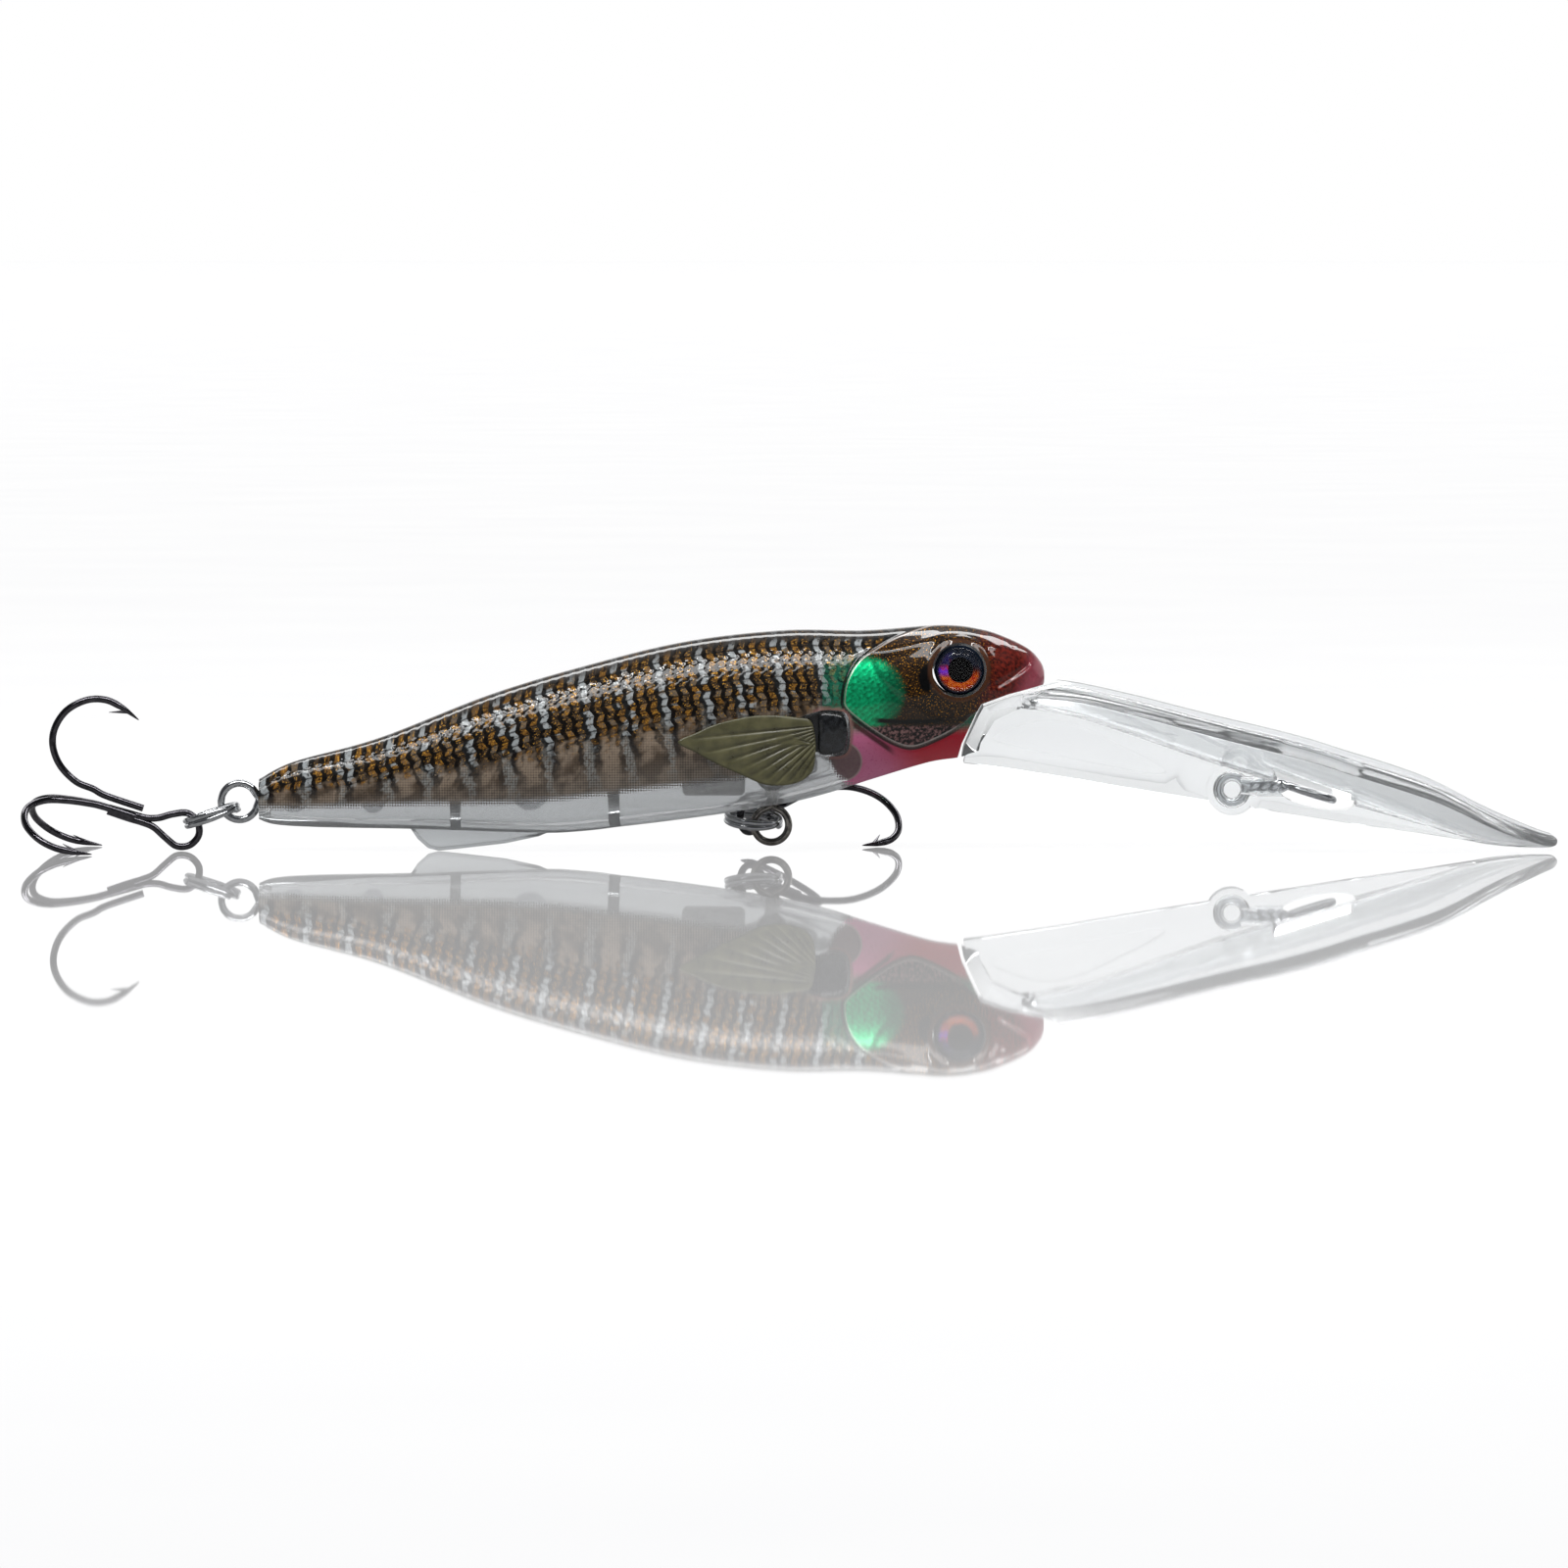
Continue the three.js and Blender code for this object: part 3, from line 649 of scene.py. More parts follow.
def clear_shader(shop, tint, rough, ior, normal=None, clarity=1.0):
    values = {"Base Color": tint if isinstance(tint, tuple) else colour(tint), "Roughness": rough,
              "IOR": ior, "Transmission Weight": clarity}
    if normal is not None:
        values["Normal"] = normal
    return shop.node("ShaderNodeBsdfPrincipled", None, values)


def clear_finish(name, tint, rough, ior=1.5, wave=0.012, clarity=1.0):
    """Moulded clear plastic, with faint flow waves in its gloss."""
    shop = Finish(name)
    here = shop.place()
    flow = shop.noise(here, 0.22, 3.0)
    normal = shop.bump(flow, wave)
    return shop.finish(clear_shader(shop, tint, rough, ior, normal, clarity))


def skin_finish():
    """The printed skin: scales, bars and head colours under gloss, thinning to clear at the belly."""
    shop = Finish("printed fish skin")
    here = shop.place()
    x = shop.part(here, 0) + LINE_TIE[0]
    z = shop.part(here, 2) + LINE_TIE[2]
    cover, gill, row = shop.attribute("cover"), shop.attribute("gill"), shop.attribute("row")
    above, crease = shop.attribute("above"), shop.attribute("crease")
    flank = shop.vector(x, row)
    fine = shop.noise(flank, 2.6, 3.0, 0.65)
    broad = shop.noise(flank, 0.42, 2.0)
    speck = shop.noise(flank, 5.2, 1.0)

    # Scales: zigzag columns. Each scale has its own ink, and a black crescent at its root.
    row_number = (row * (1 / ROW_PITCH)).whole()
    stagger = ((row * (0.5 / ROW_PITCH)).fraction() * 2 - 1).absolute() * STAGGER
    ragged = shop.noise(flank, 1.3, 1.0) - 0.5
    column = (x - row * ROW_SLANT) * (1 / SCALES["pitch"]) + stagger + ragged * 0.25
    across = column.fraction()
    down = (row * (1 / ROW_PITCH)).fraction() - 0.5
    cell = shop.vector(column.whole(), row_number)
    pick = shop.node("ShaderNodeTexWhiteNoise", {"noise_dimensions": "2D"}, {"Vector": cell})
    other_pick = shop.node("ShaderNodeTexWhiteNoise", {"noise_dimensions": "2D"},
                           {"Vector": shop.vector(column.whole() + 31.0, row_number)})
    furrow = (across - down * down * 0.5 + (fine - 0.5) * 0.55).ramp(0.50, 0.34)
    seam = (down.absolute() + (fine - 0.5) * 0.6).ramp(0.33, 0.48) * 0.85
    furrow = furrow.most(seam)
    wander = (shop.noise(shop.vector(x * 0.25, row * 0.35), 1.0) - 0.5) * 2.6
    here_bar = ((column.whole() - stagger) * SCALES["pitch"] + wander) * (1 / BAR_PITCH)
    bar = ((x - row * ROW_SLANT + wander + ragged * 0.9) * (1 / BAR_PITCH)).fraction()
    stepped = (here_bar.fraction() - 0.5).absolute().ramp(0.16, 0.13) * (pick > 0.15)
    smooth_bar = (bar - 0.5).absolute().ramp(0.15, 0.08)
    dark = ((bar - 0.69).absolute().ramp(0.15, 0.05)).most((bar - 0.32).absolute().ramp(0.10, 0.03) * 0.8)

    brown = shop.mix(fine.ramp(0.35, 0.68), colour("1c130b"), colour("66523c"))
    brown = shop.mix((pick > 0.70) * 0.45, brown, colour("8b7c6a"))
    golden = shop.mix((other_pick > 0.50) * broad.ramp(0.30, 0.48) * fine.ramp(0.32, 0.66), brown,
                      colour("8f6220"))
    flecked = shop.mix(speck.ramp(0.58, 0.66), golden, colour("d09a3a"))
    upper = shop.mix(stepped * fine.ramp(0.30, 0.5) * 0.95, flecked, colour("a9afb1"))
    upper = shop.mix(furrow * 0.97, upper, colour("030303"))

    lower_brown = shop.mix(broad.ramp(0.38, 0.62), colour("5a4a3a"), colour("9c8a77"))
    lower_brown = shop.mix(fine.ramp(0.55, 0.75) * 0.6, lower_brown, colour("2c2118"))
    lower_brown = shop.mix(dark * above.ramp(-0.75, -0.35) * fine.ramp(0.22, 0.45), lower_brown,
                           colour("0a080a"))
    lower_brown = shop.mix(smooth_bar * above.ramp(-0.85, -0.55) * fine.ramp(0.30, 0.6) * 0.7, lower_brown,
                           colour("a9aca9"))
    flank_ink = shop.mix((above + (ragged * 0.35)).ramp(-0.46, -0.26), lower_brown, upper)
    foot = above.ramp(-0.50, -0.84)
    flank_ink = shop.mix(foot * 0.55, flank_ink, colour("c2bab0"))
    back = above.ramp(0.38, 0.88)
    back_ink = shop.mix(fine.ramp(0.35, 0.7), colour("100e0d"), colour("3a3127"))
    flank_ink = shop.mix(back * 0.78, flank_ink, back_ink)
    pale = smooth_bar * (1 - above.ramp(-0.46, -0.26))

    # Halftone: a fine screen of dots, seen where the ink is thin.
    screen_x = ((x + z) * (math.pi / DOT_PITCH)).sine()
    screen_z = ((x - z) * (math.pi / DOT_PITCH)).sine()
    dots = (screen_x * screen_z).ramp(-0.25, 0.25)
    thin = (pale * 0.7).most(above.ramp(-0.20, -0.60) * 0.6)
    flank_ink = shop.mix(dots * thin * 0.8, flank_ink, colour("0f0c0a"))

    # Head.
    inside = gill.ramp(-0.06, 0.06)
    bronze = shop.mix(fine.ramp(0.38, 0.66), colour("0f0905"), colour("432a0d"))
    bronze = shop.mix(broad.ramp(0.52, 0.36) * 0.8, bronze, colour("0b0604"))
    bronze = shop.mix(speck.ramp(0.60, 0.69) * 0.9, bronze, colour("b97f22"))
    snout = shop.mix(fine.ramp(0.30, 0.70), colour("200504"), colour("80261a"))
    head = shop.mix(x.ramp(20.5, 25.0), bronze, snout)
    head = shop.mix((x * 0.8 - z * 0.35).ramp(13.6, 15.8) * x.ramp(23.5, 27), head, colour("a04a58"))
    head = shop.mix(crease.ramp(0.2, -0.3) * 0.55, head, colour("2c2117"))
    off_x, off_z = x - CHEEK_MARK[0], (z - CHEEK_MARK[1]) * (1 / 1.75)
    mark = (off_x * off_x + off_z * off_z).ramp(1.0, 0.55)
    head = shop.mix(mark, head, colour("020202"))
    stripe = ((z * 0.80 - x * 0.62) * 11.0 + (fine - 0.5) * 7).sine()
    grain = fine - 0.5
    green = shop.mix((stripe * 0.22 + grain * 2.2).ramp(-0.8, 0.8), colour("068a55"), colour("16dc92"))
    green = shop.mix(x.ramp(9.5, 12.6) * 0.7, green, colour("0a3a2a"))
    plate_x, plate_z = (x - CHEEK_PATCH[0]) * (1 / 4.3), (z - CHEEK_PATCH[1]) * (1 / 4.2)
    patch = (plate_x * plate_x + plate_z * plate_z + grain * 0.7).ramp(1.15, 0.60)
    head = shop.mix(patch, head, green)
    crescent = (z - 15.15 + (x - 14.2) * (x - 14.2) * -0.012).absolute().ramp(0.42, 0.12)
    head = shop.mix(crescent * x.ramp(9.6, 10.8) * x.ramp(18.6, 17.4), head, colour("060505"))
    speckled = shop.mix(fine.ramp(0.45, 0.6), colour("1a1517"), colour("946f6d"))
    head = shop.mix(z.ramp(14.9, 14.3) * x.ramp(8.8, 10), head, speckled)

    near_green = gill.ramp(-5.2, -0.6) * z.ramp(12.6, 15.4) * z.ramp(23.5, 20.5) * fine.ramp(0.28, 0.6)
    flank_ink = shop.mix(near_green * 0.85, flank_ink, colour("17765a"))
    throat = shop.mix((x + z * 0.5).ramp(14.5, 21.5), colour("e07aa6"), colour("cc0f30"))
    throat = shop.mix(fine.ramp(0.5, 0.8) * 0.4, throat, colour("a81a3c"))
    under = x.ramp(3.8, 6.2) * (z - x * 0.02).ramp(14.6, 13.0) * gill.ramp(0.0, -0.5)
    body = shop.mix(under, flank_ink, throat)
    streak = (z + (x - 7.4) * 0.72 - 15.1).absolute().ramp(0.55, 0.15) * x.ramp(6.8, 7.6) * x.ramp(12.8,
                                                                                                   11.4)
    body = shop.mix(streak * 0.9, body, colour("3d070b"))
    ink = shop.mix(inside, body, head)
    # Painted highlight and painted shade at the gill plate's edge, where X is below about 20 mm: a pale line
    # just inside the edge stands for a highlight, and a black line just outside it stands for the shade at the
    # foot of the raised plate.
    rim_highlight_and_shade_reach = x.ramp(20.5, 18.5)
    ink = shop.mix((gill - 0.12).absolute().ramp(0.11, 0.04) * rim_highlight_and_shade_reach * 0.7, ink, colour("cfc6c0"))
    ink = shop.mix((gill + 0.22).absolute().ramp(0.24, 0.08) * rim_highlight_and_shade_reach * 0.9, ink, colour("070505"))
    boss_x, boss_z = x - 6.3, z - 10.5
    boss = (boss_x * boss_x + boss_z * boss_z).root()
    ink = shop.mix(boss.ramp(2.35, 2.2) * 0.85, ink, shop.mix(fine, colour("3f4038"), colour("77766a")))
    ink = shop.mix((boss - 2.3).absolute().ramp(0.16, 0.05) * 0.7, ink, colour("a89c94"))
    ink = shop.mix(shop.attribute("pocket") * 0.8, ink, colour("9a716a"))
    ring = shop.attribute("socket")
    ink = shop.mix(ring * 0.8, ink, colour("4a2d1c"))

    shine = (patch * inside * 0.75).most(speck.ramp(0.52, 0.66) * 0.5)
    printed = shop.surface(
        Base_Color=ink, Metallic=shine, Roughness=fine.ramp(0.2, 0.8, 0.28, 0.5), Specular_IOR_Level=0.08,
        Coat_Weight=0.8, Coat_Roughness=0.03,
        Normal=shop.bump(fine * 0.4 + furrow * 0.6, 0.015, 0.6))
    clear = clear_shader(shop, "f0f2f3", 0.03, 1.5, None, CLEAR_BODY)
    solid_ink = (cover + (dots - 0.5) * 0.35 * cover.ramp(0.02, 0.5) * cover.ramp(1.0, 0.7)).ramp(0.32,
                                                                                                  0.62)
    mixed = shop.node("ShaderNodeMixShader", None, [solid_ink, clear, printed])
    return shop.finish(mixed)


def skin_marks(obj):
    """Numbers on the skin's points that say where they lie on the fish."""
    p = drawn_points(obj)
    x, y, z = p[:, 0], np.abs(p[:, 1]), p[:, 2]
    ridge = FLANK_RIDGE(x)
    above = np.where(z > ridge, (z - ridge) / np.maximum(back_height(x) - ridge, 0.5),
                     (z - ridge) / np.maximum(ridge - belly_height(x), 0.5))
    store(obj, "above", np.clip(above, -1, 1.5))
    store(obj, "row", skin_row(x, y, z))
    store(obj, "gill", np.where(x > 4, line_distance(x, z, GILL_EDGE), -20.0))
    store(obj, "crease", line_distance(x, z, CHEEK_CREASE))
    printed = ease(-0.9, 2.2, z - PRINT_EDGE(x)) * ease(0.05, 0.5, z - belly_height(x) + 0.35)
    store(obj, "cover", np.maximum(printed, ease(19.3, 20.0, x)))
    rim = smooth(FIN_POCKET + FIN_POCKET[:1], 6)
    pocket = np.abs(line_distance(x, z, rim))
    store(obj, "pocket", ease(0.40, 0.22, pocket) * ease(3.3, 4.4, y) * ease(2.6, 3.4, x))
    ring = np.hypot(x - EYE[0], z - EYE[1])
    store(obj, "socket", ease(3.75, 3.5, ring) * ease(1.0, 2.5, y))


def metal_finish(name, base, rough, scratch=0.35, scale=3.0, dark=None):
    """Drawn wire: fine marks along it, darker where it is dull."""
    shop = Finish(name)
    here = shop.place()
    grain = shop.noise(here, scale, 3.0, 0.6)
    fine = shop.noise(here, scale * 7, 2.0)
    shade = shop.mix(grain.ramp(0.3, 0.75) * scratch, colour(base), colour(dark or base))
    return shop.finish(shop.surface(
        Base_Color=shade, Metallic=1.0, Roughness=grain.ramp(0.3, 0.8, rough, rough + 0.16),
        Normal=shop.bump(fine, 0.004, 0.4)))


def fin_finish():
    """Soft translucent olive-grey plastic, a little cloudy, with a satin face."""
    shop = Finish("soft fin plastic")
    here = shop.place()
    cloud = shop.noise(here, 0.5, 4.0, 0.6)
    pit = shop.noise(here, 9.0, 2.0)
    shade = shop.mix(cloud.ramp(0.3, 0.7), colour("545239"), colour("6f6c4b"))
    return shop.finish(shop.surface(
        Base_Color=shade, Roughness=cloud.ramp(0.3, 0.7, 0.26, 0.42), Transmission_Weight=0.15, IOR=1.45,
        Subsurface_Weight=0.15, Subsurface_Radius=(0.001, 0.001, 0.0008), Subsurface_Scale=0.5,
        Coat_Weight=0.25, Coat_Roughness=0.25, Normal=shop.bump(pit, 0.012, 0.5)))


def plug_finish():
    shop = Finish("black plug rubber")
    here = shop.place()
    grain = shop.noise(here, 1.6, 4.0, 0.6)
    shade = shop.mix(grain.ramp(0.35, 0.75), colour("0b0c0e"), colour("25282c"))
    return shop.finish(shop.surface(
        Base_Color=shade, Roughness=grain.ramp(0.3, 0.8, 0.18, 0.45), Coat_Weight=0.6, Coat_Roughness=0.1,
        Normal=shop.bump(grain, 0.03, 0.6)))


def lead_finish():
    shop = Finish("cast ballast metal")
    here = shop.place()
    grain = shop.noise(here, 1.1, 5.0, 0.65)
    shade = shop.mix(grain.ramp(0.3, 0.75), colour("4a4846"), colour("8b8884"))
    return shop.finish(shop.surface(
        Base_Color=shade, Metallic=0.9, Roughness=grain.ramp(0.3, 0.8, 0.35, 0.6),
        Normal=shop.bump(grain, 0.04, 0.5)))


def eye_finish():
    """The eye's foil: black pupil, a fiery iris ring, spectral foil at one side and a dark blue rim."""
    shop = Finish("eye foil")
    here = shop.place()
    x = shop.part(here, 0) + (LINE_TIE[0] - EYE[0])
    z = shop.part(here, 2) + (LINE_TIE[2] - EYE[1])
    far = (x * x + z * z).root()
    grain = shop.noise(here, 2.4, 3.0)
    facet = shop.cells(here, 2.2, output=1)
    fire = shop.mix(grain.ramp(0.35, 0.62), colour("8a1408"), colour("b85a16"))
    hue = shop.mix(shop.part(facet, 0), colour("d21a4a"), colour("2338c8"))
    spectral = shop.mix(shop.part(facet, 1).ramp(0.4, 0.8), hue, colour("6a2ad0"))
    left = x.ramp(-0.5, -1.3) * z.ramp(-0.9, 0.1)
    iris = shop.mix(z.ramp(-0.9, 0.2), fire, colour("2a0508"))
    iris = shop.mix(left, iris, spectral)
    high = z.ramp(-0.2, 0.7)
    iris = shop.mix(high * 0.92, iris, colour("141d29"))
    rim = far.ramp(1.95, 2.35)
    iris = shop.mix(rim, iris, colour("131a26"))
    pupil_x = x - 0.12
    pupil = (pupil_x * pupil_x + z * z).root().ramp(1.42, 1.34)
    shade = shop.mix(pupil, iris, colour("020203"))
    shine = (1.0 - pupil) * z.ramp(0.4, -0.6) * 0.6
    return shop.finish(shop.surface(
        Base_Color=shade, Metallic=shine, Roughness=0.22, Specular_IOR_Level=0.0,
        Normal=shop.bump(grain * (1.0 - pupil), 0.05, 0.5)))


# ------------------------------------------------------------------ fish

WALL = 1.3
POSTS = [(-56.6, 6.6, 0.9, 1.3), (-1.75, 9.3, 0.9, 1.9), (-28, 13.6, 0, 1.9), (11.2, 17, 0, 1.9)]
ANAL_FIN = [(-43.4, 3.5), (-43.2, 2.6), (-42.4, 1.4), (-41.2, 0.35), (-40, 0.05), (-37.5, 0.3),
            (-32.3, 0.9), (-28.5, 1.7), (-26.4, 2.6), (-26.4, 3.3)]


def block(low, high):
    """A plain cutting block between two corners."""
    points = [(x, y, z) for x in (low[0], high[0]) for y in (low[1], high[1]) for z in (low[2], high[2])]
    faces = [(0, 1, 3, 2), (4, 6, 7, 5), (0, 4, 5, 1), (2, 3, 7, 6), (0, 2, 6, 4), (1, 5, 7, 3)]
    return outward(mesh_object("block", points, faces, smooth_shade=False))


def rounded_block(low, high, radius):
    return bevelled(block(low, high), radius, 4)


def cross_rod(x, z, radius, y0, y1, sides=48):
    return turned("rod", [(0, y0), (radius, y0), (radius, y1), (0, y1)], (x, 0, z), (0, 1, 0), sides=sides)


def cutter(obj):
    """Gives a cutting shape's faces the second finish of what it cuts: bare clear plastic."""
    obj.data.materials.clear()
    for m in (FINISHES["skin"], FINISHES["clear"]):
        obj.data.materials.append(m)
    for face in obj.data.polygons:
        face.material_index = 1
    return obj


FINISHES = {}


def jaw_cutter():
    """Everything under the upper jaw's seat."""
    outline = [(19.6, 3)] + JAW_LINE + [(34, 19.5), (34, 3)]
    return slab("seat", outline, -20, 20)


def chamber(x0, x1):
    room = loft(x0, x1, WALL, 24, 24)
    room[:, 0, 1] = room[:, -1, 1] = 0.5
    rows, columns = room.shape[:2]
    points = room.reshape(-1, 3).tolist()
    faces = grid_faces(rows, columns)
    last = (rows - 1) * columns
    for r in range(rows - 1):
        a, b = r * columns, (r + 1) * columns
        faces.append((a, b, b + columns - 1, a + columns - 1))
    faces.append(tuple(range(columns - 1, -1, -1)))
    faces.append(tuple(range(last, last + columns)))
    return outward(mesh_object("room", points, faces))


def build_fish():
    half = closed_half("fish_right", TAIL_X, NOSE_X, 0, 430, 132, raised=True)
    for m in (FINISHES["skin"], FINISHES["clear"]):
        half.data.materials.append(m)
    keel_fin = bevelled(slab("keel fin", ANAL_FIN, -0.9, 0.9), 0.55, 1, 60)
    boolean(keel_fin, block((-60, -SEAM, -5), (0, 5, 10)))
    boolean(half, cutter(keel_fin), "UNION")
    boolean(half, cutter(jaw_cutter()))
    for x0, x1 in CHAMBERS:
        room = chamber(x0, x1)
        for x, z, gap, radius in POSTS:
            if x0 < x < x1:
                boolean(room, cross_rod(x, z, radius, -20, -gap))
        if x0 < 4 < x1 or x0 < 8.5 < x1:
            boolean(room, block((-0.4, -9, 9.6), (8.3, -3.3, 17.9)))
        boolean(half, cutter(room))
    boolean(half, cutter(cross_rod(*EYE, SOCKET_R, -9, -EYE_FLOOR, 96)))
    pocket = [tuple(p) for p in smooth(FIN_POCKET, 8, closed=True)]
    boolean(half, cutter(slab("pocket", pocket, -9, -4.4)))
    for start, end in (((-61.5, 0, 5.8), (-58.4, 0, 6.35)), ((-1.75, 0, 4.2), (-1.75, 0, 7.4))):
        way = Vector(end) - Vector(start)
        channel = turned("channel", [(0, 0), (1.35, 0), (1.35, way.length), (0, way.length)], start, way,
                         sides=24)
        boolean(half, cutter(channel))
    half.data.shade_smooth()
    half.data.set_sharp_from_angle(angle=math.radians(38))
    skin_marks(half)
    other = half.copy()
    other.data = half.data.copy()
    other.name = other.data.name = "fish_left"
    bpy.context.scene.collection.objects.link(other)
    bm = bmesh.new()
    bm.from_mesh(other.data)
    bmesh.ops.scale(bm, vec=(1, -1, 1), verts=bm.verts)
    bmesh.ops.reverse_faces(bm, faces=bm.faces)
    bm.to_mesh(other.data)
    bm.free()
    for word, obj in (("right", half), ("left", other)):
        place(obj, "lure_body", "printed_shell", f"shell_{word}")


# ------------------------------------------------------------------ eyes


def build_eyes():
    for word, side in SIDES:
        disc = turned(f"eye_foil_{word}", [(0, 4.26), (2.7, 4.26), (2.84, 4.34), (2.84, 4.46), (2.7, 4.54),
                                           (0, 4.54)],
                      (EYE[0], 0, EYE[1]), (0, side, 0), FINISHES["eye"], 72)
        place(disc, "lure_body", "eye_foil", f"eye_disc_{word}")
        profile = [(0, 4.62), (2.5, 4.62), (2.6, 4.7), (2.6, 4.95)]
        profile += [(2.6 * math.cos(a), 4.95 + 1.2 * math.sin(a)) for a in np.linspace(0.12,
                                                                                       math.pi / 2 - 0.08,
                                                                                       12)]
        dome = turned(f"eye_lens_{word}", profile + [(0, 6.15)], (EYE[0], 0, EYE[1]), (0, side, 0),
                      FINISHES["lens"], 72)
        place(dome, "lure_body", "eye_dome", f"eye_dome_{word}")


# ------------------------------------------------------------------ fins

FIN_OUTLINE = [(-12.5, 12.9), (-10.4, 11.7), (-8, 10.4), (-5.1, 9.1), (-2.9, 8.15), (-0.8, 7.9), (1.4, 8.3),
               (2.9, 9.5), (3.3, 11.6), (3.2, 14.0), (2.6, 15.4), (1.0, 15.7), (-1.5, 15.95), (-4.4, 15.8),
               (-8, 15.0), (-10.6, 13.9)]
FIN_HINGE = (2.4, 6.9)
FIN_FLARE, FIN_INNER, FIN_THICK = math.radians(6), 6.65, 0.8
FIN_RAYS, FIN_FAN = 9, (5.4, 14.9)


def fin_blade(word, side):
    """A soft blade, thin at its edge, whose rays fan out of the root."""
    rim = smooth(FIN_OUTLINE, 10, closed=True)
    root = np.array([2.9, 12.6])
    rings, n = 34, len(rim)
    shares = np.linspace(0, 1, rings + 1)[1:] ** 0.85
    points = [(*root, 0.0)]
    for s in shares:
        for p in rim:
            points.append((*(root + (p - root) * s), s))
    flat = np.array(points)
    x, z, share = flat[:, 0], flat[:, 1], flat[:, 2]
    far = np.hypot(x - root[0], z - root[1])
    turn = np.arctan2(FIN_FAN[1] - z, FIN_FAN[0] - x)
    fan = (turn + 0.02) / 1.05 * FIN_RAYS
    ray = np.abs(np.mod(fan, 1) - 0.5) * 2
    ridge = 1 - ray ** 3
    ridge = 1 - (1 - ridge) * ease(1.0, 0.88, share) * ease(0.2, 0.8, fan)
    edge = np.sqrt(np.clip(1 - share ** 6, 0, 1))
    half = FIN_THICK / 2
    bulge = 0.10 + (half - 0.12) * edge * (0.55 + 0.45 * ease(11, 1, far))
    outer = FIN_INNER + half + np.minimum(bulge * (0.35 + 0.65 * ridge), half)
    inner = FIN_INNER + half - np.minimum(bulge * 0.8, half)
    count = len(flat)
    coords = [(a, side * b, c) for a, b, c in zip(x, outer, z)] + [(a, side * b, c) for a, b,
                                                                   c in zip(x, inner, z)]
    faces = []
    for base, flip in ((0, False), (count, True)):
        fan_faces = [(base, base + 1 + k, base + 1 + (k + 1) % n) for k in range(n)]
        grid = grid_faces(rings, n, base + 1, wrap_columns=True)
        for f in fan_faces + grid:
            faces.append(tuple(reversed(f)) if flip else f)
    edge0 = 1 + (rings - 1) * n
    faces += [(edge0 + k, count + edge0 + k, count + edge0 + (k + 1) % n,
               edge0 + (k + 1) % n) for k in range(n)]
    obj = mesh_object(f"pectoral_fin_{word}", coords, faces, finish=FINISHES["fin"])
    return outward(obj)


def build_fins():
    for word, side in SIDES:
        blade = fin_blade(word, side)
        peg = rounded_block((1.75, min(side * 5.8, side * 6.95), 12.05),
                            (3.05, max(side * 5.8, side * 6.95), 14.95), 0.25)
        obj = join_meshes(f"pectoral_fin_{word}", [blade, peg])
        obj.data.materials.clear()
        obj.data.materials.append(FINISHES["fin"])
        hinge = Vector(to_frame((FIN_HINGE[0], side * FIN_HINGE[1], 0)))
        turn = Matrix.Translation(hinge) @ Matrix.Rotation(-side * FIN_FLARE, 4,
                                                           "Z") @ Matrix.Translation(-hinge)
        obj.data.transform(turn)
        place(obj, f"fin_{word}_flap", "soft_fin", f"fin_{word}")
        outline = smooth([(3.75, 11.6), (5.2, 11.4), (6.6, 11.9), (7.0, 13.8), (6.6, 15.7), (5.2, 16.2),
                          (3.75, 16.0),
                          (3.65, 13.8)], 8, closed=True)
        plug = slab(f"fin_root_plug_{word}", [tuple(p) for p in outline], side * 4.7, side * 7.0,
                    FINISHES["plug"])
        bevelled(plug, 0.45, 4)
        seat = [(1.6, 11.9), (3.4, 11.65), (5.2, 11.4), (6.6, 11.9), (7.0, 13.8), (6.6, 15.7), (5.2, 16.2),
                (3.4, 16.0),
                (1.6, 15.1)]
        back = slab("plug seat", seat, side * 4.55, side * 5.6, FINISHES["plug"])
        boolean(plug, back, "UNION")
        place(plug, "lure_body", "black_rubber", f"fin_plug_{word}")


# ------------------------------------------------------------------ wires, rings and hooks

# The hook wire is drawn thinner than the solid model, whose radius is 0.45.
WIRE_R, HOOK_R = 0.5, 0.41
STRAND_R = WIRE_R * 0.86  # one drawn strand or loop; the solid model has the full WIRE_R
TREBLES = {"tail": ((-69.5, 0, 2.45), 180, 18, 0), "belly": ((-4.1, 4.4, 3.88), 49.8, 15.7, 6.2)}
RINGS = {"tail": ((-66.07, 0, 4.13), (-0.314, 0, 0.949)), "belly": ((-3.8, 1.4, 3.55),
                                                                    (0.092, -0.171, 0.981))}
RING_R = 3.08


def circle(centre, radius, start=0.0, end=360.0, steps=40):
    """Points of an arc standing in the middle plane, from angles measured from +X towards +Z."""
    angles = np.radians(np.linspace(start, end, steps))
    return [(centre[0] + radius * math.cos(a), centre[1], centre[2] + radius * math.sin(a)) for a in angles]


def twist(start, end, turns, offset=0.42, steps=60, phase=0.0):
    """Two strands wound round each other between two points."""
    a, b = Vector(start), Vector(end)
    way = (b - a).normalized()
    across = Vector((0, 1, 0))
    up = way.cross(across).normalized()
    strands = []
    for k in (0, math.pi):
        line = []
        for t in np.linspace(0, 1, steps):
            angle = 2 * math.pi * turns * t + k + phase
            line.append(tuple(a.lerp(b, t) + (across * math.sin(angle) + up * math.cos(angle)) * offset))
        strands.append(line)
    return strands


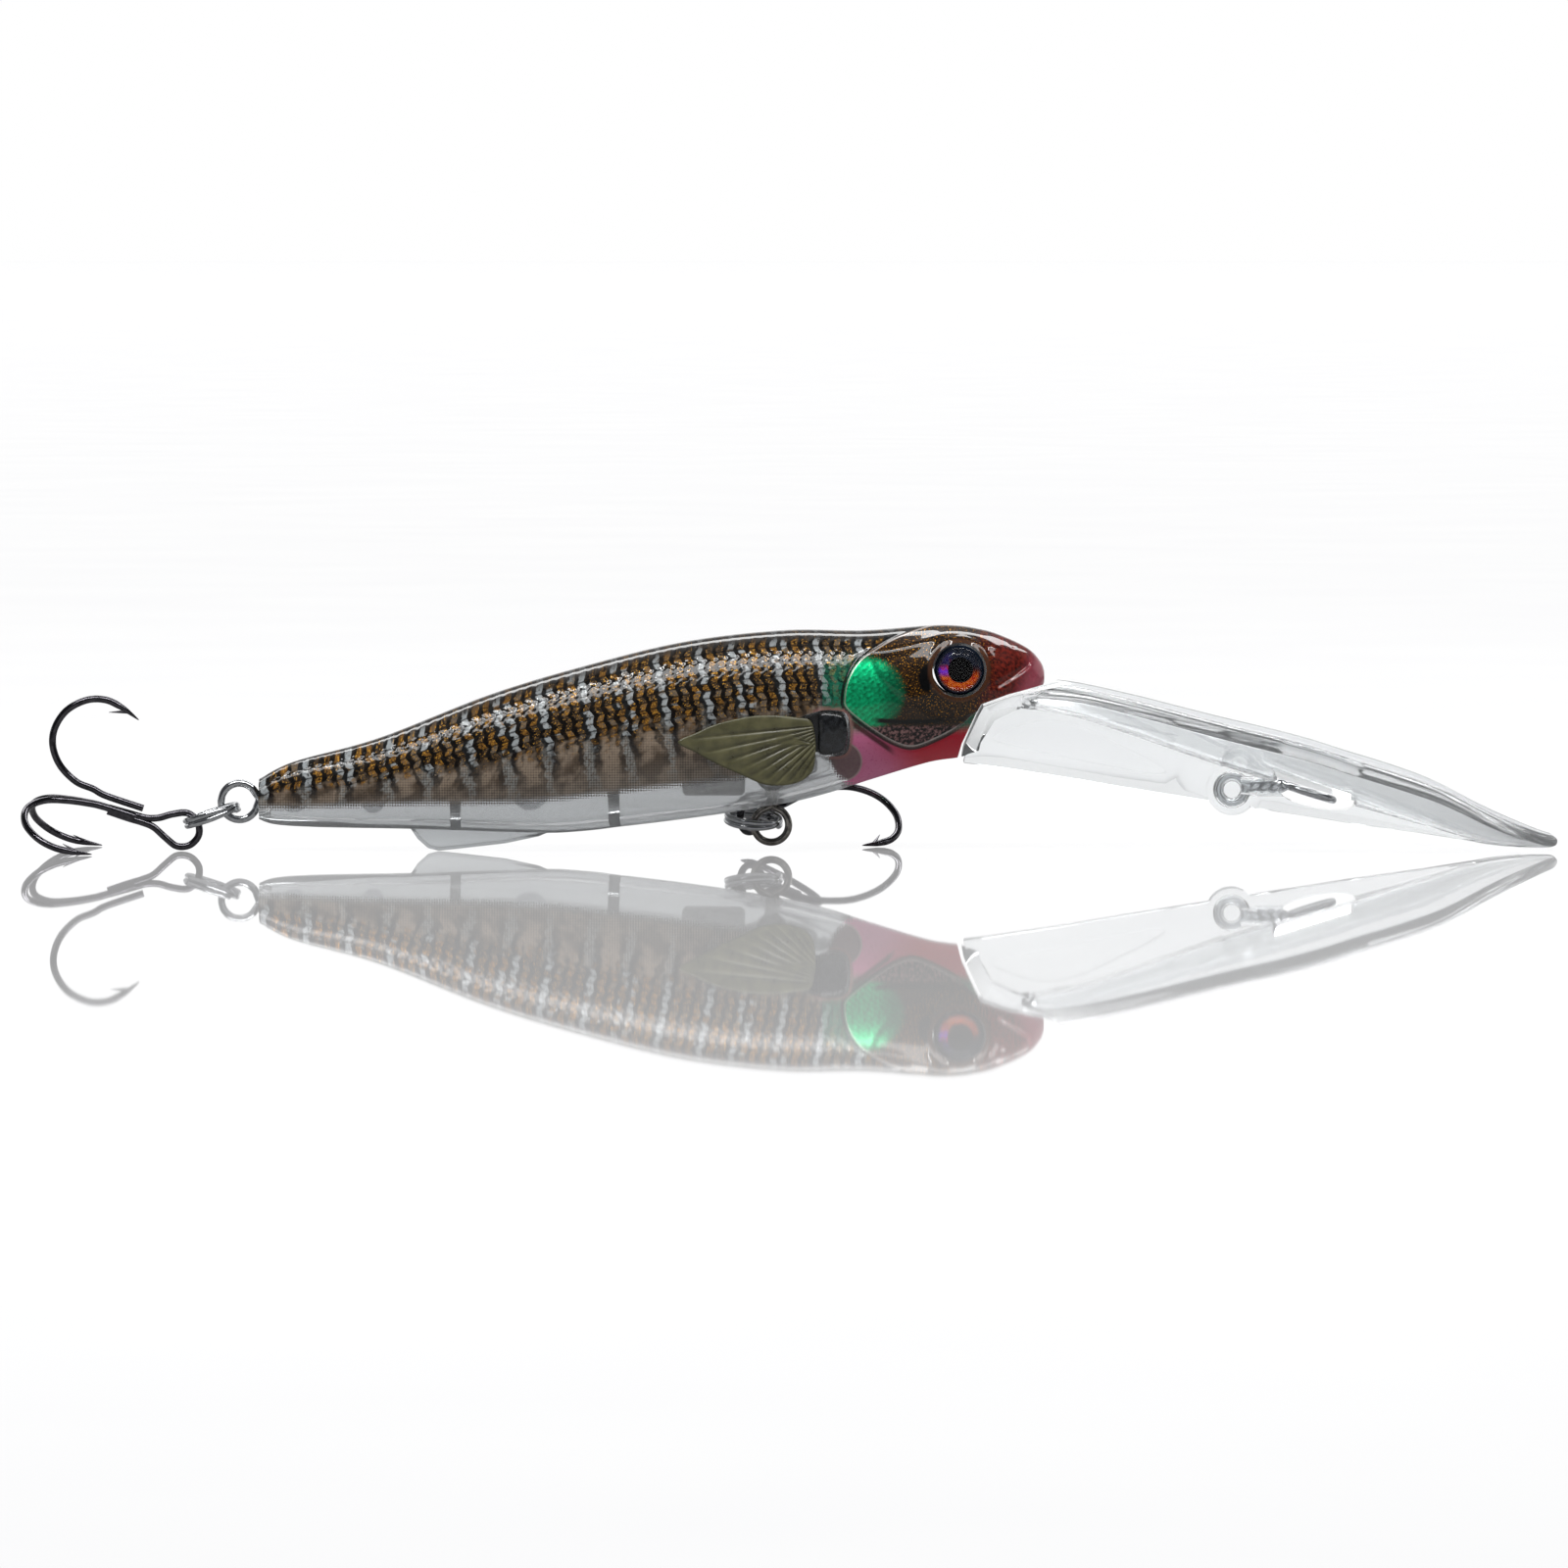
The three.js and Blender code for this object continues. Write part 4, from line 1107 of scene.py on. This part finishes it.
def hanger(name, loop, loop_r, anchor, anchor_r, turns, finish):
    """One wire: an open loop, a twisted neck and an anchor ring."""
    a, b = Vector(loop), Vector(anchor)
    way = (b - a).normalized()
    heading = math.degrees(math.atan2(way.z, way.x))
    gap = 17
    ring_out = circle(loop, loop_r, heading + gap, heading + 360 - gap, 48)
    ring_in = circle(anchor, anchor_r, heading + 180 + gap + 6, heading + 540 - gap - 6, 40)
    neck = twist(a + way * (loop_r + 0.35), b - way * (anchor_r + 0.3), turns)
    first = smooth([ring_out[-4], ring_out[-1], *neck[0][2:-2], ring_in[0], ring_in[3]], 3)
    second = smooth([ring_out[3], ring_out[0], *neck[1][2:-2], ring_in[-1], ring_in[-4]], 3)
    return swept(name, [(ring_out, False), (ring_in, False), (first, False), (second, False)], STRAND_R,
                 finish, 14)


def build_wires():
    tail = hanger("tail_hanger", (-62.9, 0, 5.7), 2.1, (-56.6, 0, 6.6), 1.55, 1.5, FINISHES["steel"])
    place(tail, "lure_body", "stainless_wire", "tail_hanger_wire")
    belly = hanger("belly_hanger", (-1.75, 0, 3.0), 2.0, (-1.75, 0, 9.3), 1.55, 1.5, FINISHES["dull_steel"])
    place(belly, "lure_body", "stainless_wire", "belly_hanger_wire")
    tilt = math.radians(17.5)
    loop = []
    for a in np.radians(np.linspace(196, 520, 56)):
        x, y = 2.3 * 1.2 * math.cos(a), 2.3 * 0.85 * math.sin(a)
        loop.append((LINE_TIE[0] + x * math.cos(tilt), y, LINE_TIE[2] - x * math.sin(tilt)))
    anchor = circle((51.2, 0, 7.1), 1.55, 30, 378, 40)
    neck = twist((53.3, 0, 7.5), (57.0, 0, 7.5), 1.5)
    first = smooth([loop[-3], loop[-1], *reversed(neck[0][2:-2]), anchor[0], anchor[3]], 3)
    second = smooth([loop[2], loop[0], *reversed(neck[1][2:-2]), anchor[-1], anchor[-4]], 3)
    wire = swept("tow_loop_wire", [(loop, False), (anchor, False), (first, False), (second, False)],
                 STRAND_R, FINISHES["steel"], 14)
    place(wire, "lure_body", "stainless_wire", "tow_wire")


def build_rings():
    for word, (centre, normal) in RINGS.items():
        axis = Vector(normal).normalized()
        turn = Vector((0, 0, 1)).rotation_difference(axis).to_matrix()
        line = []
        for t in np.linspace(0, 1, 132):
            angle = math.radians(-20) + t * 2 * math.pi * 1.94
            lift = -0.31 + 0.62 * float(ease(0.40, 0.60, t))
            local = Vector((RING_R * math.cos(angle), RING_R * math.sin(angle), lift))
            line.append(tuple(turn @ local + Vector(centre)))
        ring = swept(f"{word}_coil_ring", [(line, False)], 0.33, FINISHES["steel"], 14)
        place(ring, f"{word}_ring", "stainless_wire", f"{word}_split_ring")


HOOK_LINE = [(13.3, 1.5), (15.6, 2.7), (17.1, 4.6), (17.5, 6.7), (16.8, 9.0), (15.0, 10.8), (12.9, 11.5),
             (10.9, 11.25),
             (9.7, 10.87), (8.6, 10.47)]


def hook_line(angle, root_x, root_r):
    """One hook's middle line and its taper, with the point ground away over its last stretch."""
    path = [(root_x, root_r), (9.5, root_r + 0.05), (11.2, root_r + 0.35), *HOOK_LINE]
    line = smooth([(a, -r * math.sin(angle), r * math.cos(angle)) for a, r in path], 8)
    run = np.concatenate([[0], np.cumsum(np.linalg.norm(np.diff(line, axis=0), axis=1))])
    left = run[-1] - run
    return line, False, np.clip(0.09 + 0.91 * (left / 3.1) ** 0.75, 0, 1)


def barb_line(angle):
    path = np.linspace((10.1, 11.0), (12.15, 10.25), 8)
    line = [(a, -r * math.sin(angle), r * math.cos(angle)) for a, r in path]
    return line, False, np.linspace(0.62, 0.08, 8)


def build_trebles():
    third = 2 * math.pi / 3
    for word, (eye, yaw, pitch, roll) in TREBLES.items():
        turn = (Matrix.Rotation(math.radians(yaw), 4, "Z") @ Matrix.Rotation(math.radians(-pitch), 4, "Y")
                @ Matrix.Rotation(math.radians(roll), 4, "X"))
        eye_line = smooth([(8.8, 0, -0.62), (6.4, 0, -0.66), (4.6, 0, -0.62), (3.2, 0, -0.75),
                           (1.6, 0, -1.45), (0, 0, -2.0),
                           (-1.4, 0, -1.4), (-2.0, 0, 0), (-1.4, 0, 1.4), (0, 0, 2.0), (1.6, 0, 1.35),
                           (3.0, 0, 0.45),
                           (4.4, 0, 0.0), (6.4, 0, -0.1), (8.8, 0, -0.2)], 8)
        double = [(eye_line, False), hook_line(third, 5.6, 0.47), hook_line(-third, 5.6, 0.47),
                  barb_line(third),
                  barb_line(-third)]
        single = [hook_line(0, 5.0, 0.95), barb_line(0)]
        for kind, paths in (("double", double), ("single", single)):
            moved = []
            for path in paths:
                line = [tuple((turn @ Vector(p)) + Vector(eye)) for p in path[0]]
                moved.append((line, *path[1:]))
            hook = swept(f"{word}_hook_{kind}", moved, HOOK_R, FINISHES["nickel"], 16)
            place(hook, f"{word}_treble", "black_nickel", f"{word}_treble_{kind}")


# ------------------------------------------------------------------ weights


def build_weights():
    slug = turned("ballast_weight", [(0, -3.6), (2.5, -3.6), (2.9, -3.2), (2.9, 3.2), (2.5, 3.6), (0, 3.6)],
                  (-8.4, 0, 9.5), (1, 0, 0), FINISHES["lead"])
    place(slug, "lure_body", "ballast_metal", "ballast_slug")
    for name, node, body, radius, at in (
            ("rattle_main_shot", "rattle_ball_main", "rattle_main", 2.25, (-29.5, 0, 7.15)),
            ("rattle_tail_shot", "rattle_ball_tail", "rattle_tail", 1.4, (-47.5, 0, 5.95))):
        profile = [(radius * math.sin(a), -radius * math.cos(a)) for a in np.linspace(0, math.pi, 25)]
        profile[0], profile[-1] = (0, -radius), (0, radius)
        ball = turned(name, profile, at, (0, 0, 1), FINISHES["shot"])
        place(ball, body, "ball_steel", node)


# ------------------------------------------------------------------ bib

BIB_START, BIB_TIP = 27, 88.6
bib_ridge = track([(27, 17.6), (33, 16.6), (39.7, 14.5), (46, 12.3), (52, 10.3), (60, 7.9), (67.3, 5.9),
                   (73, 4.3),
                   (79.7, 2.4), (85, 1.75), (88.6, 1.7)])
bib_half_width = track([(27, 5.6), (33.5, 6.8), (44.8, 9.2), (56, 11.2), (64, 12.1), (70, 12.4), (76, 11.9),
                        (81, 10), (85, 7), (87.6, 3.6), (88.6, 1.0)])
bib_rise = track([(27, 0.43), (56, 0.43), (66, 0.38), (76, 0.33), (84, 0.2), (88.6, 0.08)])
bib_thick = track([(27, 1.8), (70, 1.8), (88.6, 1.3)])
KEEL = [(20.3, 10.2), (24, 9.75), (33.5, 8.3), (38, 7.5), (65.1, 3.2), (73, 2.1), (78.6, 1.2), (84.2, 0.5),
        (86, 0.6), (79.7, 1.6), (73, 3.4), (60, 7), (52, 9.4), (39.7, 13.6), (33, 15.8), (27, 17),
        (23.2, 16.4),
        (22, 15), (20.9, 12.3)]
FLANGE = [(19.9, 9.8), (20.4, 12.3), (22, 15.7), (22.6, 16.8), (25.5, 17.9), (28.8, 18.7), (29.6, 17.4),
          (26, 16.2), (23.9, 15.2), (22.3, 12.6), (21.7, 9.8)]
TOW_WINDOW = [(56.3, 8.4), (57.2, 6.3), (59.6, 5.3), (62.6, 4.75), (65.0, 5.0), (65.4, 6.4), (64.4, 8.8),
              (61.6, 10.6), (58.0, 11.8), (56.4, 11.0)]
KEEL_POCKET = [(23.6, 12.9), (25.2, 13.9), (28.4, 14.9), (31.0, 15.0), (34.2, 14.2), (38.4, 12.2),
               (41.6, 10.6),
               (43.6, 9.2), (42.0, 8.9), (37.0, 9.8), (31.0, 11.0), (26.4, 12.0)]
KEEL_HALF = 1.5


def wing_board():
    """Both wings as one board, cupped upwards, with a rounded rim."""
    rows, columns = 190, 73
    u = np.linspace(0, 1, rows)
    x = (BIB_START + (BIB_TIP - BIB_START) * (1 - (1 - u) ** 1.6))[:, None] + np.zeros((1, columns))
    v = np.sin(np.linspace(-math.pi / 2, math.pi / 2, columns))[None, :] + np.zeros((rows, 1))
    half = bib_half_width(x)
    y = v * half
    rise = bib_rise(x)
    thick = bib_thick(x)
    top = bib_ridge(x) + np.sqrt(y * y + 0.3) * rise
    rim = np.minimum((1 - np.abs(v)) * half, (BIB_TIP - x) * 0.8)
    share = np.sqrt(np.clip(1 - (1 - np.clip(rim / 0.75, 0, 1)) ** 2, 0.0004, 1))
    middle = top - thick / 2
    up = np.stack([x, y, middle + thick / 2 * share], axis=-1).reshape(-1, 3)
    down = np.stack([x, y, middle - thick / 2 * share], axis=-1).reshape(-1, 3)
    n = rows * columns
    faces = grid_faces(rows, columns) + [tuple(reversed(f)) for f in grid_faces(rows, columns, n)]
    border = [c for c in range(columns)] + [r * columns + columns - 1 for r in range(1, rows)]
    border += [(rows - 1) * columns + c for c in range(columns - 2, -1, -1)]
    border += [r * columns for r in range(rows - 2, 0, -1)]
    for a, b in zip(border, border[1:] + border[:1]):
        faces.append((a, b, n + b, n + a))
    return outward(mesh_object("bib_wings", np.concatenate([up, down]), faces))


def ring_room(centre, radius, wire):
    """A closed ring standing in the middle plane."""
    around, sides = 56, 18
    points = []
    for a in np.linspace(0, 2 * math.pi, around, endpoint=False):
        for b in np.linspace(0, 2 * math.pi, sides, endpoint=False):
            r = radius + wire * math.cos(b)
            points.append((centre[0] + r * math.cos(a), centre[1] + wire * math.sin(b),
                           centre[2] + r * math.sin(a)))
    faces = []
    for i in range(around):
        for k in range(sides):
            j, m = (i + 1) % around, (k + 1) % sides
            faces.append((i * sides + k, j * sides + k, j * sides + m, i * sides + m))
    return outward(mesh_object("ring room", points, faces))


def build_bib():
    bib = wing_board()
    bib.name = bib.data.name = "diving_bib"
    above = [(x + FIT, z - FIT) for x, z in JAW_LINE]
    boolean(bib, slab("head", [(5, 5), (above[0][0], 5), *above, (above[-1][0], 35), (5, 35)], -20, 20))
    keel = bevelled(slab("keel", smooth_outline(KEEL), -KEEL_HALF, KEEL_HALF), 0.22, 2, 60)
    for side in (RIGHT, LEFT):
        pocket = slab("pocket", [tuple(p) for p in smooth(KEEL_POCKET, 5, closed=True)], side * 0.75,
                      side * 3)
        boolean(keel, pocket)
    boolean(keel, slab("head", [(5, 5), (above[0][0], 5), *above, (above[-1][0], 35), (5, 35)], -20, 20))
    boolean(bib, keel, "UNION")
    flange = slab("flange", FLANGE, -9, 9)
    boolean(flange, whole_fish_block(), "INTERSECT")
    boolean(flange, slab("head", [(5, 5), (above[0][0], 5), *above, (above[-1][0], 35), (5, 35)], -20, 20))
    boolean(bib, flange, "UNION")
    boolean(bib, cross_rod(51.2, 7.1, 2.9, -1.8, 1.8, 64), "UNION")
    boolean(bib, turned("neck boss", [(0, 0), (1.9, 0), (1.9, 4.6), (0, 4.6)], (52.6, 0, 7.5), (1, 0, 0),
                        sides=32),
            "UNION")
    boolean(bib, slab("window", [tuple(p) for p in smooth(TOW_WINDOW, 6, closed=True)], -3.3, 3.3))
    boolean(bib, ring_room((51.2, 0, 7.1), 1.55, 0.62))
    boolean(bib, turned("neck room", [(0, 0), (1.15, 0), (1.15, 6.3), (0, 6.3)], (52.2, 0, 7.5), (1, 0, 0),
                        sides=32))
    for side in (RIGHT, LEFT):
        boolean(bib, cross_rod(46.8, 9.9, 1.0, side * 1.42, side * 3, 32))
    bib.data.materials.clear()
    bib.data.materials.append(FINISHES["bib"])
    bib.data.shade_smooth()
    bib.data.set_sharp_from_angle(angle=math.radians(32))
    place(bib, "lure_body", "clear_plastic", "bib")


def smooth_outline(points):
    """The same outline, with each corner kept and long runs split."""
    out = []
    for (x0, z0), (x1, z1) in zip(points, points[1:] + points[:1]):
        pieces = max(1, round(math.hypot(x1 - x0, z1 - z0) / 3))
        out += [(x0 + (x1 - x0) * t / pieces, z0 + (z1 - z0) * t / pieces) for t in range(pieces)]
    return out


def whole_fish_block():
    """The plain outline of the whole head, for trimming what is glued against it."""
    right = loft(10, NOSE_X, 0, 40, 40)
    ring = np.concatenate([right, (right * [1, -1, 1])[:, -2:0:-1]], axis=1)
    rows, columns = ring.shape[:2]
    faces = grid_faces(rows, columns, wrap_columns=True)
    faces.append(tuple(range(columns - 1, -1, -1)))
    faces.append(tuple(range((rows - 1) * columns, rows * columns)))
    return outward(mesh_object("head block", ring.reshape(-1, 3), faces))


# ------------------------------------------------------------------ stage

AIM = (-0.28, 0.0, 7.7)
VIEW_ELEVATION = math.radians(3.0)
VIEW_DISTANCE, VIEW_WIDTH = 1.2, 0.1803
SENSOR = 36.0


FLOOR_IOR = 1.7


def floor_finish(mirror):
    """White, and mirroring most where it is seen at a glance."""
    shop = Finish("pale glossy floor")
    here = shop.place()
    cloud = shop.noise(here, 0.02, 2.0)
    shade = shop.mix(cloud, colour("fbfbfc"), colour("ffffff"))
    seen = shop.node("ShaderNodeLightPath").most(shop.node("ShaderNodeLightPath", output=6))
    strength = shop.node("ShaderNodeMapRange", None, [seen, 0.0, 1.0, 0.10, 1.08])
    glow = shop.node("ShaderNodeEmission", None, {"Color": shade, "Strength": strength})
    matt = shop.node("ShaderNodeBsdfDiffuse", None, {"Color": shade})
    body = shop.node("ShaderNodeMixShader", None, [0.25, glow, matt])
    gloss = shop.node("ShaderNodeBsdfGlossy", None, {"Color": shade, "Roughness": 0.02})
    shown = shop.node("ShaderNodeLightPath") * shop.node("ShaderNodeFresnel", None,
                                                         {"IOR": FLOOR_IOR}) * mirror
    return shop.finish(shop.node("ShaderNodeMixShader", None, [shown, body, gloss]))


def studio_world():
    """Soft white surroundings, brighter behind the lure than in front of it."""
    world = bpy.data.worlds.new("studio")
    world.use_nodes = True
    tree = world.node_tree
    nodes, links = tree.nodes, tree.links
    nodes.clear()
    out, sky = nodes.new("ShaderNodeOutputWorld"), nodes.new("ShaderNodeBackground")
    where, part = nodes.new("ShaderNodeTexCoord"), nodes.new("ShaderNodeSeparateXYZ")
    links.new(where.outputs["Generated"], part.inputs[0])
    behind, low = nodes.new("ShaderNodeMapRange"), nodes.new("ShaderNodeMapRange")
    for node, output, ends in ((behind, 1, (-0.1, 0.6)), (low, 2, (0.55, 0.15))):
        node.interpolation_type = "SMOOTHSTEP"
        node.inputs["From Min"].default_value, node.inputs["From Max"].default_value = ends
        links.new(part.outputs[output], node.inputs["Value"])
    both, tone = nodes.new("ShaderNodeMath"), nodes.new("ShaderNodeMix")
    both.operation, tone.data_type = "MULTIPLY", "RGBA"
    links.new(behind.outputs["Result"], both.inputs[0])
    links.new(low.outputs["Result"], both.inputs[1])
    links.new(both.outputs[0], tone.inputs[0])
    tone.inputs[6].default_value, tone.inputs[7].default_value = (0.07, 0.072, 0.08, 1), (1.02, 1.02, 1.02,
                                                                                          1)
    plain, seen = nodes.new("ShaderNodeMix"), nodes.new("ShaderNodeLightPath")
    plain.data_type = "RGBA"
    direct = nodes.new("ShaderNodeMath")
    direct.operation = "MULTIPLY_ADD"
    links.new(seen.outputs["Is Transmission Ray"], direct.inputs[0])
    direct.inputs[1].default_value = 0.8
    links.new(seen.outputs["Is Camera Ray"], direct.inputs[2])
    links.new(direct.outputs[0], plain.inputs[0])
    links.new(tone.outputs[2], plain.inputs[6])
    plain.inputs[7].default_value = (1, 1, 1, 1)
    links.new(plain.outputs[2], sky.inputs["Color"])
    links.new(sky.outputs[0], out.inputs[0])
    bpy.context.scene.world = world


def soft_light(name, at, aim, size, power):
    data = bpy.data.lights.new(name, "AREA")
    data.shape, data.size, data.size_y, data.energy = "RECTANGLE", size[0], size[1], power
    obj = bpy.data.objects.new(name, data)
    bpy.context.scene.collection.objects.link(obj)
    obj.location = at
    obj.rotation_euler = (Vector(aim) - Vector(at)).to_track_quat("-Z", "X").to_euler()
    return obj


def build_stage(mirror):
    low = CAD_BOX[0][2]
    middle = Vector(to_frame(AIM))
    corners = [(-2.5, -2.5), (2.5, -2.5), (2.5, 30.0), (-2.5, 30.0)]
    mesh = bpy.data.meshes.new("floor")
    mesh.from_pydata([(x * 3, y, low) for x, y in corners], [], [(0, 1, 2, 3)])
    floor = bpy.data.objects.new("floor", mesh)
    mesh.materials.append(floor_finish(mirror))
    bpy.context.scene.collection.objects.link(floor)
    studio_world()
    aim = (middle.x, 0, middle.z)
    soft_light("overhead strip", (middle.x, -0.25, 0.50), aim, (0.02, 0.75), 1.7)
    soft_light("front softbox", (middle.x, -0.42, 0.55), aim, (0.14, 0.9), 2.6)
    soft_light("rear softbox", (middle.x, 0.42, 0.55), aim, (0.14, 0.9), 2.6)
    data = bpy.data.cameras.new("camera")
    camera = bpy.data.objects.new("camera", data)
    bpy.context.scene.collection.objects.link(camera)
    data.sensor_width = SENSOR
    data.lens = SENSOR * VIEW_DISTANCE / VIEW_WIDTH
    back = Vector((0, -math.cos(VIEW_ELEVATION), math.sin(VIEW_ELEVATION)))
    camera.location = middle + back * VIEW_DISTANCE
    camera.rotation_euler = (-back).to_track_quat("-Z", "Y").to_euler()
    data.clip_start, data.clip_end = 0.05, 60
    bpy.context.scene.camera = camera
    bpy.context.scene.view_settings.view_transform = "Standard"


# ------------------------------------------------------------------ settings, operators and panel


class LureSettings(bpy.types.PropertyGroup):
    """What someone who finishes the lure again would change."""

    scale_pitch: bpy.props.FloatProperty(
        name="Scale pitch", description="Length of one scale along the flank",
        default=0.00122, min=0.0005, max=0.01, subtype="DISTANCE", unit="LENGTH")
    scale_height: bpy.props.FloatProperty(
        name="Scale height", description="How far a scale's edge stands over the next",
        default=0.00011, min=0.0, max=0.001, subtype="DISTANCE", unit="LENGTH")
    bib_tint: bpy.props.FloatVectorProperty(
        name="Bib tint", description="Colour of the bib's clear plastic",
        default=(0.888, 0.905, 0.913), size=3, min=0, max=1, subtype="COLOR")
    floor_mirror: bpy.props.FloatProperty(
        name="Floor mirror", description="How strongly the floor mirrors what stands on it",
        default=1.0, min=0, max=1, subtype="FACTOR")


class LureOperator:
    bl_options = {"REGISTER", "UNDO"}

    def execute(self, context):
        self.build(context.scene.lure_settings)
        return {"FINISHED"}


class LURE_OT_finishes(LureOperator, bpy.types.Operator):
    """Make the materials of every piece"""
    bl_idname = "lure.finishes"
    bl_label = "Finishes"

    def build(self, settings):
        SCALES["pitch"] = round(settings.scale_pitch * 1000, 4)
        SCALES["height"] = round(settings.scale_height * 1000, 4)
        FINISHES["skin"] = skin_finish()
        FINISHES["clear"] = clear_finish("clear body plastic", "f0f2f3", 0.12, clarity=CLEAR_BODY)
        FINISHES["bib"] = clear_finish("clear bib plastic", (*settings.bib_tint, 1.0), 0.02, 1.5,
                                       clarity=CLEAR_BIB)
        FINISHES["lens"] = clear_finish("clear eye lens", "fafafa", 0.01, 1.2, 0.004)
        FINISHES["eye"] = eye_finish()
        FINISHES["fin"] = fin_finish()
        FINISHES["plug"] = plug_finish()
        FINISHES["steel"] = metal_finish("bright stainless wire", "c9cbcd", 0.10, 0.5, 2.0, "8d8f92")
        FINISHES["dull_steel"] = metal_finish("dark hanger wire", "a39f99", 0.10, 0.7, 2.0, "4b4641")
        FINISHES["nickel"] = metal_finish("black nickel hook", "5e5c61", 0.07, 0.6, 1.5, "222124")
        FINISHES["shot"] = metal_finish("bearing steel shot", "b7b9bc", 0.08, 0.3, 1.0, "7d7f82")
        FINISHES["lead"] = lead_finish()


class LURE_OT_fish(LureOperator, bpy.types.Operator):
    """Build both printed halves of the fish's body"""
    bl_idname = "lure.fish"
    bl_label = "Body halves"

    def build(self, settings):
        build_fish()


class LURE_OT_eyes(LureOperator, bpy.types.Operator):
    """Build the foil eyes and their clear lenses"""
    bl_idname = "lure.eyes"
    bl_label = "Eyes"

    def build(self, settings):
        build_eyes()


class LURE_OT_fins(LureOperator, bpy.types.Operator):
    """Build the soft pectoral fins and the plugs that hold their roots"""
    bl_idname = "lure.fins"
    bl_label = "Fins and plugs"

    def build(self, settings):
        build_fins()


class LURE_OT_bib(LureOperator, bpy.types.Operator):
    """Build the clear diving bib"""
    bl_idname = "lure.bib"
    bl_label = "Bib"

    def build(self, settings):
        build_bib()


class LURE_OT_wires(LureOperator, bpy.types.Operator):
    """Build the tow wire and both hanger wires"""
    bl_idname = "lure.wires"
    bl_label = "Wires"

    def build(self, settings):
        build_wires()


class LURE_OT_rings(LureOperator, bpy.types.Operator):
    """Build both split rings"""
    bl_idname = "lure.rings"
    bl_label = "Split rings"

    def build(self, settings):
        build_rings()


class LURE_OT_trebles(LureOperator, bpy.types.Operator):
    """Build both treble hooks"""
    bl_idname = "lure.trebles"
    bl_label = "Treble hooks"

    def build(self, settings):
        build_trebles()


class LURE_OT_weights(LureOperator, bpy.types.Operator):
    """Build the ballast and the rattle shot"""
    bl_idname = "lure.weights"
    bl_label = "Ballast and rattles"

    def build(self, settings):
        build_weights()


class LURE_OT_stage(LureOperator, bpy.types.Operator):
    """Build the floor, the soft lights and the camera"""
    bl_idname = "lure.stage"
    bl_label = "Stage"

    def build(self, settings):
        build_stage(settings.floor_mirror)


OPERATORS = (LURE_OT_finishes, LURE_OT_fish, LURE_OT_eyes, LURE_OT_fins, LURE_OT_bib, LURE_OT_wires,
             LURE_OT_rings, LURE_OT_trebles, LURE_OT_weights, LURE_OT_stage)


class LURE_PT_pieces(bpy.types.Panel):
    """Lists what the lure is built from"""
    bl_label = "Deep-diving lure"
    bl_idname = "LURE_PT_pieces"
    bl_space_type = "VIEW_3D"
    bl_region_type = "UI"
    bl_category = "Lure"

    def draw(self, context):
        settings = context.scene.lure_settings
        for name in settings.__annotations__:
            self.layout.prop(settings, name)
        for operator in OPERATORS:
            self.layout.operator(operator.bl_idname)


CLASSES = (LureSettings, *OPERATORS, LURE_PT_pieces)


def register():
    for cls in CLASSES:
        bpy.utils.register_class(cls)
    bpy.types.Scene.lure_settings = bpy.props.PointerProperty(type=LureSettings)


def unregister():
    del bpy.types.Scene.lure_settings
    for cls in reversed(CLASSES):
        bpy.utils.unregister_class(cls)


def main():
    register()
    for operator in OPERATORS:
        group, name = operator.bl_idname.split(".")
        getattr(getattr(bpy.ops, group), name)()


if __name__ == "__main__":
    main()
